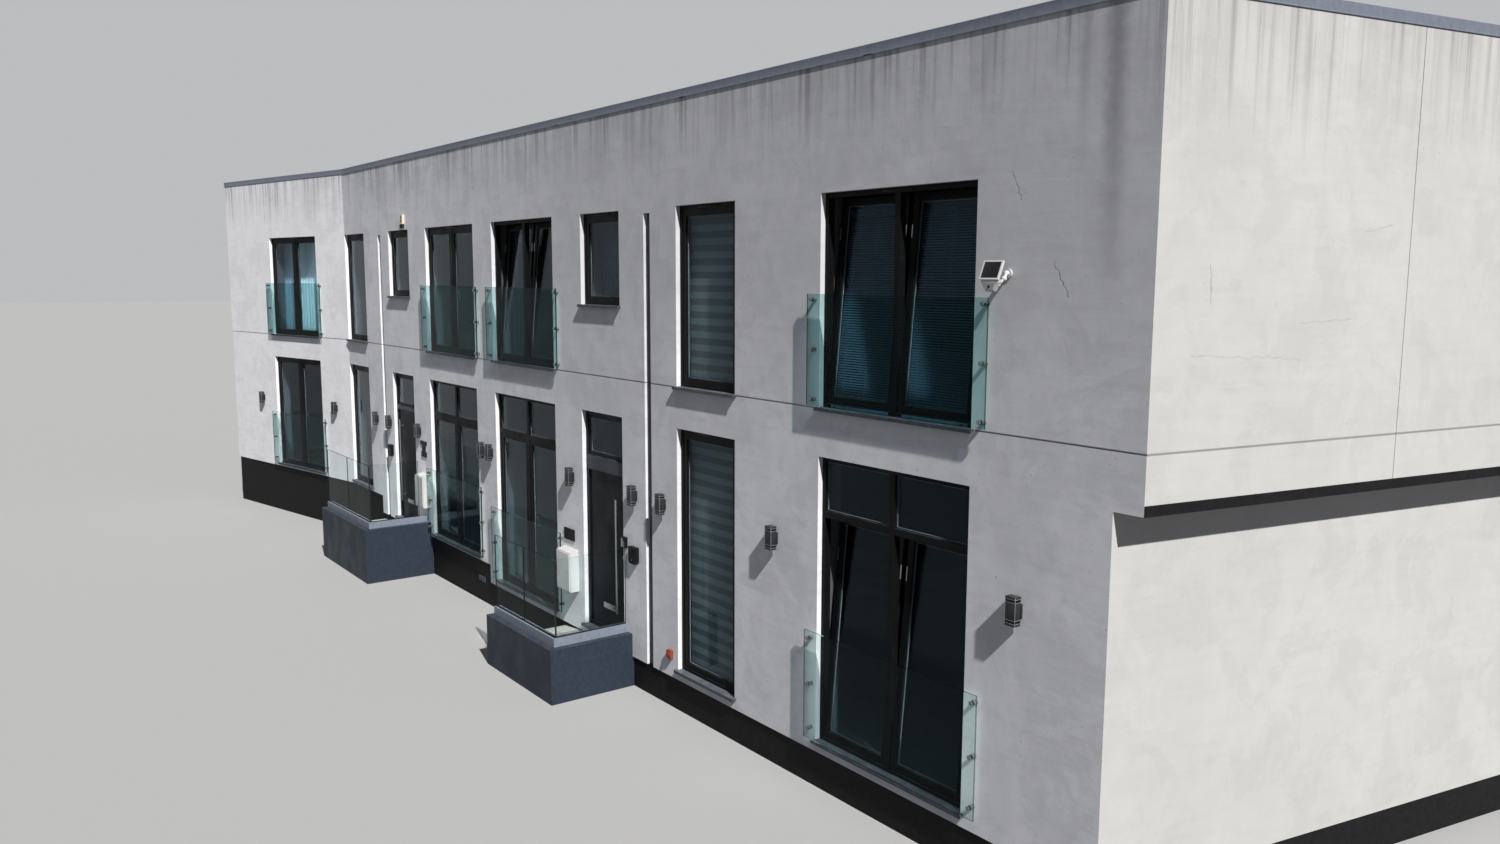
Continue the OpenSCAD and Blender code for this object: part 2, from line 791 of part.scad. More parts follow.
// Box across the frame over the door, with its upper edge sloped
module transom_box(o) {
    box_h = top_light_z(o) - door_top(o);
    translate([door_frame, reveal, door_top(o)]) rotate([90, 0, 90])
        linear_extrude(height = door_w - 2 * door_frame)
            polygon([
                [0, 0], [0, box_h], [-transom_reach, box_h - transom_reach], [-transom_reach, 0]
            ]);
}
module door_light(o) {
    at_door(o)
        translate([
            door_frame + light_bead, (reveal + frame_back - pane_t) / 2, top_light_z(o) + light_bead
        ])
            cube([door_w - 2 * (door_frame + light_bead), pane_t, top_light_h - 2 * light_bead]);
}
module door_leaf(o) {
    at_door(o) translate([door_frame + leaf_gap, leaf_y, leaf_z]) cube([leaf_w, leaf_t, leaf_h(o)]);
}

// Bar handle on two stems, letter plate and hinge knuckles of one leaf
bar_inset = 155;
bar_low = 320;
stem_r = 9;
stem_inset = 110;
letter_w = 290;
letter_h = 70;
letter_t = 5;
letter_z = 305;
letter_x = 372;
knuckle_r = 8;
knuckle_h = 110;
knuckle_gap = 0.3;
hinge_x = door_frame + leaf_gap / 2;
hinge_y = frame_back + knuckle_r + knuckle_gap;
knuckle_heights = [180, 1040, 1900];
module door_fittings(o) {
    at_door(o) {
        translate([door_frame + leaf_gap + leaf_w - bar_inset, leaf_y - bar_reach, bar_low]) {
            cylinder(h = bar_len, r = bar_r, $fn = 24);
            for (z = [stem_inset, bar_len - stem_inset])
                translate([0, 0, z]) rotate([-90, 0, 0]) cylinder(h = bar_reach, r = stem_r, $fn = 20);
        }
        translate([letter_x, leaf_y - letter_t, letter_z]) cube([letter_w, letter_t, letter_h]);
        for (z = knuckle_heights)
            translate([hinge_x, hinge_y, leaf_z + z]) cylinder(h = knuckle_h, r = knuckle_r, $fn = 20);
    }
}

module door_frame_right() {
    color(frame_color) door_frame(right_door);
}
module door_frame_left() {
    color(frame_color) door_frame(left_door);
}
module door_lights() {
    color(glass_color) for (o = doorways) door_light(o);
}
module door_leaf_right() {
    color(frame_color) door_leaf(right_door);
}
module door_leaf_left() {
    color(frame_color) door_leaf(left_door);
}
module door_fittings_right() {
    color("silver") door_fittings(right_door);
}
module door_fittings_left() {
    color("silver") door_fittings(left_door);
}

// A platform is its left end, its length, its floor level and the base band's top behind it
platform_right = [platform_start, platform_right_len, floor_level, base_right_z];
platform_left = [
    mirrored(platform_start, platform_left_len), platform_left_len, left_floor, base_left_z
];
function p_x(p) = p[0];
function p_len(p) = p[1];
function p_ledge(p) = p[2] + ledge_rise;
function p_base(p) = p[3];
module at_platform(p) {
    translate([p_x(p), face_y - platform_depth, 0]) children();
}

// Front and right end walls of a platform
module plinth(p) {
    at_platform(p) {
        cube([p_len(p), plinth_t, p_ledge(p)]);
        translate([p_len(p) - plinth_t, 0, 0]) cube([plinth_t, platform_depth, p_ledge(p)]);
        translate([p_len(p) - plinth_t, 0, 0])
            cube([plinth_t, platform_depth + base_setback, p_base(p)]);
    }
}
capping_end_gap = 35;
module plinth_capping(p) {
    at_platform(p) translate([0, 0, p_ledge(p)]) {
        translate([capping_end_gap, capping_inset, 0])
            cube([p_len(p) - capping_end_gap - capping_inset, capping_w, capping_h]);
        translate([p_len(p) - capping_inset - capping_w, capping_inset, 0])
            cube([capping_w, platform_depth - capping_inset, capping_h]);
    }
}
// Two glass sheets along the front and one at the end, which stops short of what is on the wall
glass_joint = 6;
glass_wall_gap = 18;
module platform_glass(p, wall_depth) {
    glass_y = capping_inset + glass_inset;
    glass_end = p_len(p) - capping_inset - glass_inset;
    front_len = glass_end - capping_end_gap;
    panel = (front_len - glass_joint) / 2;
    at_platform(p) translate([0, 0, p_ledge(p) + capping_h]) {
        for (i = [0, 1])
            translate([capping_end_gap + i * (panel + glass_joint), glass_y, 0])
                cube([panel, platform_glass_t, platform_glass_h]);
        translate([glass_end - platform_glass_t, glass_y + platform_glass_t + glass_joint, 0])
            cube([
                platform_glass_t,
                platform_depth - glass_y - platform_glass_t - glass_joint - wall_depth - glass_wall_gap,
                platform_glass_h
            ]);
    }
}
// Paved landing inside the platform walls, falling a little towards the open end
module landing(p, door_x) {
    top = p[2] - landing_drop;
    inside = p_len(p) - plinth_t;
    at_platform(p) translate([0, platform_depth + base_setback, 0]) rotate([90, 0, 0])
        linear_extrude(height = platform_depth + base_setback - plinth_t)
            polygon([
                [0, 0], [inside, 0], [inside, top], [door_x - p_x(p), top], [0, top - landing_fall]
            ]);
}

module plinth_right() {
    color(cladding_color) plinth(platform_right);
}
module plinth_left() {
    color(cladding_color) plinth(platform_left);
}
module plinth_cappings() {
    color(metal_color) {
        plinth_capping(platform_right);
        plinth_capping(platform_left);
    }
}
module plinth_glass_right() {
    color(glass_color) platform_glass(platform_right, 0);
}
module plinth_glass_left() {
    color(glass_color) platform_glass(platform_left, meter_d + meter_lip);
}
module landings() {
    color(concrete_color) {
        landing(platform_right, door_start);
        landing(platform_left, mirrored(door_start, door_w));
    }
}

module rain_pipe(x, foot) {
    translate([x + (slot_w - pipe_w) / 2, face_y + slot_depth - pipe_d, foot])
        cube([pipe_w, pipe_d, upper_head - slot_drop - foot]);
}
module rainwater_pipes() {
    color(frame_color) {
        rain_pipe(slot_right_x, base_right_z);
        rain_pipe(slot_left_x, base_left_z);
    }
}

// Box lights with a cap and a glass above and below, in rows along each house
lights_right = [155, 2660, 4222, 4848, 6906, 9975];
lights_left = [130, 2718, 4128, 4812];
lights_wing = [579, 3580];
light_cap_t = 20;
light_glass_inset = 4;
light_back_w = 112;
light_back_h = 118;
light_back_t = 18;
module wall_light() {
    body_d = light_d - light_back_t;
    translate([-light_back_w / 2, -light_back_t, -light_back_h / 2])
        cube([light_back_w, light_back_t, light_back_h]);
    translate([-light_w / 2, -light_d, -light_body_h / 2]) cube([light_w, body_d, light_body_h]);
    for (z = [-light_h / 2, light_h / 2 - light_cap_t])
        translate([-light_w / 2, -light_d, z]) cube([light_w, body_d, light_cap_t]);
    translate([
        light_glass_inset - light_w / 2, light_glass_inset - light_d, (light_cap_t - light_h) / 2
    ])
        cube([
            light_w - 2 * light_glass_inset, body_d - 2 * light_glass_inset, light_h - light_cap_t
        ]);
}
module wall_lights() {
    color(frame_color) {
        for (x = concat(lights_right, -lights_left))
            translate([x, face_y, light_z]) wall_light();
        for (s = lights_wing)
            translate([kink.x, kink.y, light_z]) rotate([0, 0, wing_angle])
                translate([-s, -fit_gap, 0]) wall_light();
    }
}

// Meter boxes with a sloping top and a lipped door
meter_x_right = 2422;
meter_x_left = -2690;
meter_rise_right = 395;
meter_rise_left = 425;
meter_slope = 26;
meter_lip = 12;
meter_rim = 14;
module meter_box(x, level) {
    translate([x, face_y, level]) {
        rotate([90, 0, 90]) linear_extrude(height = meter_w)
            polygon([[0, 0], [0, meter_h], [-meter_d, meter_h - meter_slope], [-meter_d, 0]]);
        translate([meter_rim, -meter_d - meter_lip, meter_rim])
            cube([meter_w - 2 * meter_rim, meter_lip, meter_h - meter_slope - 2 * meter_rim]);
    }
}
module meter_boxes() {
    color([0.92, 0.92, 0.9]) {
        meter_box(meter_x_right, floor_level + meter_rise_right);
        meter_box(meter_x_left, left_floor + meter_rise_left);
    }
}

// Dark post boxes beside the doors, with their lower corners cut off
post_x_right = 4215;
post_x_left = -4116;
post_rise = 1067;
post_corner = 30;
module post_box(x, level) {
    translate([x, face_y, level + post_rise]) rotate([90, 0, 0])
        linear_extrude(height = post_d)
            polygon([
                [-post_w / 2, post_corner], [post_corner - post_w / 2, 0],
                [post_w / 2 - post_corner, 0], [post_w / 2, post_corner],
                [post_w / 2, post_h], [-post_w / 2, post_h]
            ]);
}
module post_boxes() {
    color(frame_color) {
        post_box(post_x_right, floor_level);
        post_box(post_x_left, left_floor);
    }
}

// Bare dark plates at the doors, each as centre x, centre z, width, height and thickness
name_plate = [2562, 1598, 272, 150, 12];
bell_plate = [3992, 1766, 90, 132, 45];
left_bracket = [
    [-2565, 2190, 265, 62, 14],
    [-2556, 2100, 130, 134, 14],
    [-2552, 1998, 212, 86, 14]
];
module plate(p) {
    translate([p[0] - p[2] / 2, face_y - p[4], p[1] - p[3] / 2]) cube([p[2], p[4], p[3]]);
}
module door_plates() {
    color(frame_color) for (p = concat([name_plate, bell_plate], left_bracket)) plate(p);
}

// Solar lamp beside the right-hand upper window: bracket, arm, leaning panel and lamp head
lamp_x = 9743;
lamp_z = 4985;
lamp_bracket = [70, 12, 90];
lamp_arm = 165;
lamp_arm_r = 11;
panel_w = 190;
panel_h = 155;
panel_t = 18;
panel_lean = 22;
panel_drop = 46;
head_w = 120;
head_top = 110;
head_foot = 46;
head_h = 92;
module security_light() {
    color("white") translate([lamp_x, face_y, lamp_z]) {
        translate([-lamp_bracket.x / 2, -lamp_bracket.y, -lamp_bracket.z / 2]) cube(lamp_bracket);
        rotate([90, 0, 0]) cylinder(h = lamp_arm, r = lamp_arm_r, $fn = 24);
        translate([-panel_w / 2, -lamp_arm - panel_t, -panel_drop]) rotate([-panel_lean, 0, 0])
            cube([panel_w, panel_t, panel_h]);
        translate([-head_w / 2, -lamp_arm, 0]) rotate([90, 0, 90]) linear_extrude(height = head_w)
            polygon([
                [-head_top / 2, -panel_drop], [head_top / 2, -panel_drop], [head_top / 2, -lamp_arm_r],
                [0, 0], [-panel_t, -panel_drop / 2]
            ]);
        translate([-head_w / 2, -lamp_arm, -panel_drop]) rotate([90, 0, 90])
            linear_extrude(height = head_w)
                polygon([
                    [-head_top / 2, 0], [-head_foot / 2, -head_h], [head_foot / 2, -head_h],
                    [head_top / 2, 0]
                ]);
    }
}

// White sensor over the left house's small window, with a dark round eye below
sensor_x = -3148;
sensor_rise = 93;
sensor_size = [96, 38, 150];
eye_r = 40;
eye_h = 68;
module alarm_box() {
    color("white") translate([sensor_x, face_y, upper_head + sensor_rise]) {
        translate([-sensor_size.x / 2, -sensor_size.y, 0]) cube(sensor_size);
        translate([-eye_r, -sensor_size.y, -eye_h]) cube([2 * eye_r, sensor_size.y, eye_h]);
        translate([0, -sensor_size.y, -eye_h]) cylinder(h = eye_h, r = eye_r / 2, $fn = 32);
    }
}

// Red socket box at the foot of the wall, with a domed lid
socket_x = 4992;
socket_level = 645;
socket_size = [84, 42, 94];
lid_r = 30;
lid_t = 10;
module socket_box() {
    color("firebrick") translate([socket_x, face_y, socket_level]) {
        translate([-socket_size.x / 2, -socket_size.y, -socket_size.z / 2]) cube(socket_size);
        translate([0, -socket_size.y, 0]) rotate([90, 0, 0]) cylinder(h = lid_t, r = lid_r, $fn = 32);
    }
}

// Dark strip along the foot of the overhanging gable
flashing_h = 80;
flashing_t = 8;
module gable_flashing() {
    reach = right_reach + gable_step;
    color(frame_color) block([
        [gable_x(reach + fit_gap, face_y), face_y], [gable_x(reach + flashing_t, face_y), face_y],
        [gable_x(reach + flashing_t, rear_y), rear_y], [gable_x(reach + fit_gap, rear_y), rear_y]
    ], overhang_z, overhang_z + flashing_h);
}

// Air brick in the base wall, a rimmed plate with long slots
brick_x = -360;
brick_z = 352;
brick_size = [225, 10, 75];
brick_slot_d = 5;
brick_rim = 12;
brick_bar = 9;
brick_slots = 3;
module air_brick() {
    slot_h = (brick_size.z - 2 * brick_rim - (brick_slots - 1) * brick_bar) / brick_slots;
    color(metal_color)
        translate([
            brick_x - brick_size.x / 2, face_y + base_setback - brick_size.y,
            brick_z - brick_size.z / 2
        ])
            difference() {
                cube(brick_size);
                for (i = [0:brick_slots - 1])
                    translate([brick_rim, -eps, brick_rim + i * (slot_h + brick_bar)])
                        cube([brick_size.x - 2 * brick_rim, brick_slot_d + eps, slot_h]);
            }
}

// Slatted blinds fixed on the inside of the tilted sashes of the outer upper window
outer_upper = upper_openings[2];
blind_edge = 12;
module slat_blinds() {
    color("lightgray") for (i = [0, 1])
        at_sash(outer_upper, i) translate([blind_edge, sash_depth + fit_gap, blind_edge])
            cube([
                sash_w(outer_upper, i) - 2 * blind_edge, slat_blind_t,
                sash_h(outer_upper, i) - 2 * blind_edge
            ]);
}

// Striped blinds in the reveals of the narrow street windows: a cassette under the head and the cloth below
narrow_windows = [upper_openings[5], lower_openings[2]];
side_gap = 20;
foot_gap = 30;
module striped_blinds() {
    color("gray") for (o = narrow_windows) {
        back = reveal + frame_depth + blind_gap;
        at_opening(o) {
            translate([side_gap, back, o_height(o) - cassette])
                cube([o_width(o) - 2 * side_gap, cassette, cassette]);
            translate([side_gap, back + cassette / 2 - roller_cloth_t / 2, foot_gap])
                cube([o_width(o) - 2 * side_gap, roller_cloth_t, o_height(o) - cassette - foot_gap]);
        }
    }
}

// Curtains hang inside against the wall: window, start, drawn width, and foot above the sill
curtain_over = 110;
drawn_w = 520;
curtain_foot = 20;
short_foot = -150;
curtain_list = [
    [upper_openings[0], -curtain_over, drawn_w, curtain_foot],
    [upper_openings[0], french_w + curtain_over - drawn_w, drawn_w, curtain_foot],
    [upper_openings[3], -curtain_over, drawn_w, short_foot],
    [upper_openings[7], -curtain_over, french_w + 2 * curtain_over, curtain_foot]
];
module curtains() {
    color("slategray") for (c = curtain_list)
        at_opening(c[0]) translate([c[1], wall_t + fit_gap, c[3]])
            cube([c[2], curtain_t, o_height(c[0]) + rail_rise - c[3]]);
}

base_walls();
ground_floor_right();
ground_floor_left();
front_wall_lower_left();
front_wall_lower_middle();
front_wall_lower_right();
door_surrounds();
wing_wall_lower();
front_wall_upper();
wing_wall_upper();
gable_wall_lower();
gable_wall_upper();
end_wall();
party_wall();
rear_wall_lower();
rear_wall_upper();
upper_floor_right();
upper_floor_left();
roof_slab();
coping();
window_frames_upper();
window_frames_lower();
sashes_upper();
sashes_lower();
window_glass_upper();
window_glass_lower();
sills();
guard_glass_upper();
guard_glass_lower();
guard_standoffs();
door_frame_right();
door_frame_left();
door_lights();
door_leaf_right();
door_leaf_left();
door_fittings_right();
door_fittings_left();
plinth_right();
plinth_left();
plinth_cappings();
plinth_glass_right();
plinth_glass_left();
landings();
rainwater_pipes();
wall_lights();
meter_boxes();
post_boxes();
door_plates();
security_light();
alarm_box();
socket_box();
gable_flashing();
air_brick();
slat_blinds();
striped_blinds();
curtains();
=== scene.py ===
# %% [markdown]
# # Two rendered terraced houses, finished in Blender
# The walls, windows, guards, platforms and fittings come ready made from the CAD frame, in metres, with the
# street face running along X. The lesson adds coats, stains, gaskets, blinds and small ironmongery, placed by the
# frame's own sizes.

# %% Load the frame
import json
import math
import random

import bmesh
import bpy
from mathutils import Matrix, Vector

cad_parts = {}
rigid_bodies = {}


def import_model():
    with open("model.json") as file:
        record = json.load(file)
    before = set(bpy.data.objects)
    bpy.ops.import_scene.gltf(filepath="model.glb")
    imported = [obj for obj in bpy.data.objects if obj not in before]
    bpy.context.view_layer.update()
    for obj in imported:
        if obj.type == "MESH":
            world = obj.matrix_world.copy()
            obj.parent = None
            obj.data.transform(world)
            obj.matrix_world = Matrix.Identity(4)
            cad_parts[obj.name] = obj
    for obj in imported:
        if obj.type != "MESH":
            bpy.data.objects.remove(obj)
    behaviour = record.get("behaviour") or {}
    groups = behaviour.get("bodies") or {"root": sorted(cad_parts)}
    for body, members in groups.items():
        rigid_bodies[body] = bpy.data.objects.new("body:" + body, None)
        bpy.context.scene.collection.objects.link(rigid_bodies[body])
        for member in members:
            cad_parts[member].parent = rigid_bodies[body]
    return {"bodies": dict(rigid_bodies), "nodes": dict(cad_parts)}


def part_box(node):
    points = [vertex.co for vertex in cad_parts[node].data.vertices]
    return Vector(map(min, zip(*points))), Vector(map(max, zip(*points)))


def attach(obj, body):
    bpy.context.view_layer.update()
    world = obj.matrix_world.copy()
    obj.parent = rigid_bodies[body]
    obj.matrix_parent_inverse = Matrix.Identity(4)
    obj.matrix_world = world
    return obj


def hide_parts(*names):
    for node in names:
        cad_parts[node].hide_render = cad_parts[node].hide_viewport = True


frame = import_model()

scene = bpy.context.scene
nodes = frame["nodes"]
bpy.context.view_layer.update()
print("CAD nodes:", len(nodes), "bodies:", sorted(frame["bodies"]))

# %% [markdown]
# ## The camera
# The picture was taken from a raised spot at the right, looking along the street. The camera's place and direction
# come from its vanishing points and repeated windows: a place, a turn to the left, a dip and a very small lean.
# Each angle is one rotation.

# %% Camera
CAMERA_PLACE = Vector((15.544, -6.945, 4.957))
CAMERA_TURN, CAMERA_DIP, CAMERA_LEAN = (math.radians(angle) for angle in (53.1065, 7.3703, 0.147))

camera_data = bpy.data.cameras.new("street_camera")
camera_data.sensor_width, camera_data.lens, camera_data.clip_end = 36.0, 27.01, 500.0
camera = bpy.data.objects.new("street_camera", camera_data)
camera.matrix_world = (Matrix.Translation(CAMERA_PLACE) @ Matrix.Rotation(CAMERA_TURN, 4, "Z")
                       @ Matrix.Rotation(math.pi / 2 - CAMERA_DIP, 4, "X") @ Matrix.Rotation(CAMERA_LEAN, 4, "Z"))
scene.collection.objects.link(camera)
scene.camera = camera

# %% [markdown]
# ## Helpers for node trees
# Each finish is a small tree of nodes. A wire stands for one output of a node, and a sum written with wires places
# the arithmetic nodes for it. A net is a tree with short ways to add to it, an effect is a net that becomes a node
# group, and a coat is the net of one material.

# %% Wires
class Wire:
    """One output of a node."""

    def __init__(self, net, socket):
        self.net, self.socket = net, socket

    def step(self, operation, *values):
        """Places one arithmetic node."""
        return self.net.add("Math", dict(enumerate(values)), operation=operation)[0]

    def __rsub__(self, number):
        return self.step("SUBTRACT", number, self)

    def __abs__(self):
        return self.step("ABSOLUTE", self)

    def clamped(self):
        """Keeps the result of the last step between 0 and 1."""
        self.socket.node.use_clamp = True
        return self

    def ramp(self, low, high, to_low=0.0, to_high=1.0):
        """Stretches the value smoothly between two limits."""
        values = {"Value": self, "From Min": low, "From Max": high, "To Min": to_low, "To Max": to_high}
        return self.net.add("MapRange", values, interpolation_type="SMOOTHSTEP")[0]


for sign, operation in {"add": "ADD", "sub": "SUBTRACT", "mul": "MULTIPLY", "truediv": "DIVIDE",
                        "gt": "GREATER_THAN", "lt": "LESS_THAN"}.items():
    setattr(Wire, "__%s__" % sign, lambda self, other, operation=operation: self.step(operation, self, other))


class Wires:
    """The outputs of a node, by name or by number."""

    def __init__(self, net, node):
        self.net, self.node = net, node

    def __getitem__(self, label):
        return Wire(self.net, self.node.outputs[label])

# %% Nets, effects and coats
class Net:
    """A node tree. What is stored under a name goes to that input of its target node."""

    def __init__(self, tree, target):
        self.tree, self.target = tree, target
        self.point = self.add("TexCoord")["Object"]
        self.axes = self.add("SeparateXYZ", {0: self.point})

    def __setitem__(self, label, value):
        self.plug(value, self.target.inputs[label])

    def plug(self, value, socket):
        """Sends a wire or a plain value into an input."""
        if isinstance(value, Wire):
            self.tree.links.new(value.socket, socket)
        else:
            socket.default_value = (*value, 1) if socket.type == "RGBA" else value

    def add(self, kind, values=None, **settings):
        """Adds one node, sets its properties and fills its inputs."""
        node = self.tree.nodes.new("ShaderNode" + kind)
        for name, value in settings.items():
            setattr(node, name, value)
        for name, value in (values or {}).items():
            self.plug(value, node.inputs[name])
        return Wires(self, node)

    def noise(self, vector, scale, detail, roughness=0.5, distortion=0.0):
        values = {"Vector": vector, "Scale": scale, "Detail": detail, "Roughness": roughness,
                  "Distortion": distortion}
        return self.add("TexNoise", values)[0]

    def blend(self, mask, colour, other):
        """One colour where the mask is dark and another where it is bright."""
        return self.add("Mix", {0: mask, 6: colour, 7: other}, data_type="RGBA")[2]

    def stretched(self, *factors):
        """The place of a surface point, with each direction scaled by its own factor."""
        return self.add("VectorMath", {0: self.point, 1: factors}, operation="MULTIPLY")[0]

    def facing(self, axis):
        """How far the surface looks along an axis."""
        return self.add("SeparateXYZ", {0: self.add("NewGeometry")["Normal"]})[axis]

    def looked_at(self):
        """1 for a look from the camera, in a shiny surface or through glass, and 0 for light on its way."""
        path = self.add("LightPath")
        return (path["Is Camera Ray"] + path["Is Transmission Ray"] + path["Is Glossy Ray"]).clamped()

    def use(self, effect, **knobs):
        """Places a shared effect with its own values."""
        return self.add("Group", knobs, node_tree=effect.tree)


class Effect(Net):
    """A node group. Its knobs are read and its results are stored by name."""

    def __init__(self, name, results, **knobs):
        group = bpy.data.node_groups.new(name, "ShaderNodeTree")
        for label in (*knobs, *results):
            socket = group.interface.new_socket(name=label, in_out="INPUT" if label in knobs else "OUTPUT",
                                                socket_type="NodeSocketFloat")
            socket.default_value = knobs.get(label, 0.0)
        super().__init__(group, group.nodes.new("NodeGroupOutput"))
        self.knobs = Wires(self, group.nodes.new("NodeGroupInput"))

    def __getitem__(self, label):
        return self.knobs[label]


coat_of = {}


class Coat(Net):
    """A material, kept by name. What is stored under a name goes to its Principled shader."""

    def __init__(self, name, roughness=0.5, specular=0.5, metallic=0.0):
        coat_of[name] = self.material = bpy.data.materials.new(name)
        self.material.use_nodes = True
        tree = self.material.node_tree
        super().__init__(tree, tree.nodes["Principled BSDF"])
        self["Roughness"], self["Specular IOR Level"], self["Metallic"] = roughness, specular, metallic

    def lift(self, height, depth, strength=1.0):
        """Bumps the surface by a height."""
        self["Normal"] = self.add("Bump", {"Height": height, "Distance": depth, "Strength": strength})[0]

# %% [markdown]
# ## Light
# One sun from the right rakes along the street front and shines full on the side wall. A plain world fills the
# shadows. The camera, metal and glass see that world as a light grey backdrop, which is chosen by the Light Path
# node, so the backdrop's tone adds no light to the walls.

# %% Studio
WORLD_GLOW, BACKDROP_SEEN = (0.150, 0.166, 0.196), (0.505, 0.512, 0.52)
SUN_LEVEL, SUN_SOFTNESS, SUN_COLOUR = 2.0, math.radians(1.2), (1.0, 0.985, 0.96)
SUN_FROM = Vector((0.672, -0.158, 0.723)).normalized()

scene.view_settings.view_transform = "Standard"
world = bpy.data.worlds.new("studio")
world.use_nodes = True
sky = Net(world.node_tree, world.node_tree.nodes["Background"])
sky["Color"] = sky.blend(sky.looked_at(), WORLD_GLOW, BACKDROP_SEEN)
scene.world = world

sun_data = bpy.data.lights.new("raking_sun", "SUN")
sun_data.energy, sun_data.angle, sun_data.color = SUN_LEVEL * math.pi, SUN_SOFTNESS, SUN_COLOUR
sun = bpy.data.objects.new("raking_sun", sun_data)
sun.rotation_euler = SUN_FROM.to_track_quat("Z", "Y").to_euler()
sun.location = (20, -10, 18)
scene.collection.objects.link(sun)

# %% [markdown]
# ## Effects shared by the finishes
# Clouding is the slow change of tone in hand-floated plaster. Run-off is the dark trail that rain draws down from a
# coping. Grit is the fine grain of sand or of powder paint. Settled dust lies on faces that look up. Each is a
# group with its own knobs, so a wall and a window frame can use the same effect at their own size.

# %% Clouding and grit
clouding = Effect("clouding", ["Shade", "Fine"], Size=1.0, Upright=0.5)
upright_z = clouding.axes["Z"] * clouding["Upright"]
flattened = clouding.add("CombineXYZ", {0: clouding.axes["X"], 1: clouding.axes["Y"], 2: upright_z})[0]
clouding["Shade"] = clouding.noise(flattened, clouding["Size"], 4.0, 0.6).ramp(0.3, 0.7)
clouding["Fine"] = clouding.noise(flattened, clouding["Size"] * 9.0, 5.0, 0.7).ramp(0.3, 0.7)

grit = Effect("grit", ["Height"], Grain=300.0, Waves=5.0, Share=0.5)
grain, waves = (grit.noise(grit.point, grit[scale], 2.0) for scale in ("Grain", "Waves"))
grit["Height"] = grain * grit["Share"] + waves * (1.0 - grit["Share"])

# %% Run-off streaks and settled dust
STRAND_STRETCH = 0.35
run_off = Effect("run_off", ["Mask"], Top=6.9, Reach=1.2, Strands=5.0, From=0.38, Till=0.68)
x, y = (run_off.axes[axis] * run_off["Strands"] for axis in "XY")
trail = run_off.add("CombineXYZ", {0: x, 1: y, 2: run_off.axes["Z"] * STRAND_STRETCH})[0]
strands = run_off.noise(trail, 1.0, 6.0, 0.65)
below = run_off["Top"] - run_off.axes["Z"]
fade = (1.0 - below / (strands * (run_off["Reach"] * 2.0))).clamped()
run_off["Mask"] = (strands.ramp(run_off["From"], run_off["Till"]) * fade).clamped()

settled = Effect("settled_dust", ["Mask"], Size=6.0, Amount=0.6)
patches = settled.noise(settled.point, settled["Size"], 4.0).ramp(0.3, 0.7)
settled["Mask"] = settled.facing("Z").ramp(0.3, 0.95) * settled["Amount"] * patches

# %% [markdown]
# ## Cracks and indoor faces
# A crack is a thin mark between two points of a wall, shaken a little by a noise. The inner faces of the walls
# would shine through the windows in the colour of the render, so a mask finds what lies behind the window frames,
# and the coats are painted dark there: painted shade for the dim rooms.

# %% Cracks
CRACK_SHAKE = 0.06
crack = Effect("crack", ["Mask"], Along=0.0, Height=0.0, Start=0.0, Foot=0.0, Run=0.1, Drop=-0.2, Width=0.004)
run, drop = crack["Run"], crack["Drop"]
shift = (crack.noise(crack.point, 14.0, 3.0) - 0.5) * CRACK_SHAKE
over, up = crack["Along"] - crack["Start"] + shift, crack["Height"] - crack["Foot"] + shift
share = ((over * run + up * drop) / (run * run + drop * drop)).clamped()
off_x, off_z = over - share * run, up - share * drop
away = share.step("SQRT", off_x * off_x + off_z * off_z)
crack["Mask"] = (1.0 - away / crack["Width"]).clamped()

# %% Indoor faces
KINK_X, FRONT_Y, WING_TURN, GABLE_SLANT = -6.295, -0.15, math.radians(12), 0.2356
INSIDE_DEPTH, INSIDE_REAR, INSIDE_RIGHT, INSIDE_ROOF = 0.125, 6.70, 10.53, 6.0
indoors = Effect("indoors", ["Mask"], Sideways=0.0)
x, y, z = (indoors.axes[axis] for axis in "XYZ")
from_street = y - FRONT_Y
from_wing = (KINK_X - x) * math.sin(WING_TURN) + from_street * math.cos(WING_TURN)
depth = x.step("MAXIMUM", from_street, from_wing)
within = (depth > INSIDE_DEPTH) * (y < INSIDE_REAR) * (z < INSIDE_ROOF)
within = within * ((x - from_street * GABLE_SLANT) < INSIDE_RIGHT)
indoors["Mask"] = (within - (indoors.facing("X") * indoors["Sideways"] > 0.5)).clamped()

# %% [markdown]
# ## Wall render
# Render is floated by hand, so its tone clouds slowly and its face carries fine sand. Rain runs off the coping and
# leaves dark trails near the top. One function makes all four coats, because only tones and staining differ. Three
# tones go to a coat: light, dark and stain. The faces are one render, and their tones differ as painted light and
# shade: the side wall in full sun is painted darker, the street face and wing in raking sun paler. The ends of the
# side wall belong to the street face, so they get its tones.

# %% Render coats
COPING_LINE, STOREY_LINE, PALE_RENDER, INDOOR_PAINTED_SHADE = 6.84, 3.739, (0.88, 0.88, 0.90), (0.07, 0.07, 0.072)
BROAD_STAIN, SOOT_AND_SHADE = 0.03, 0.58


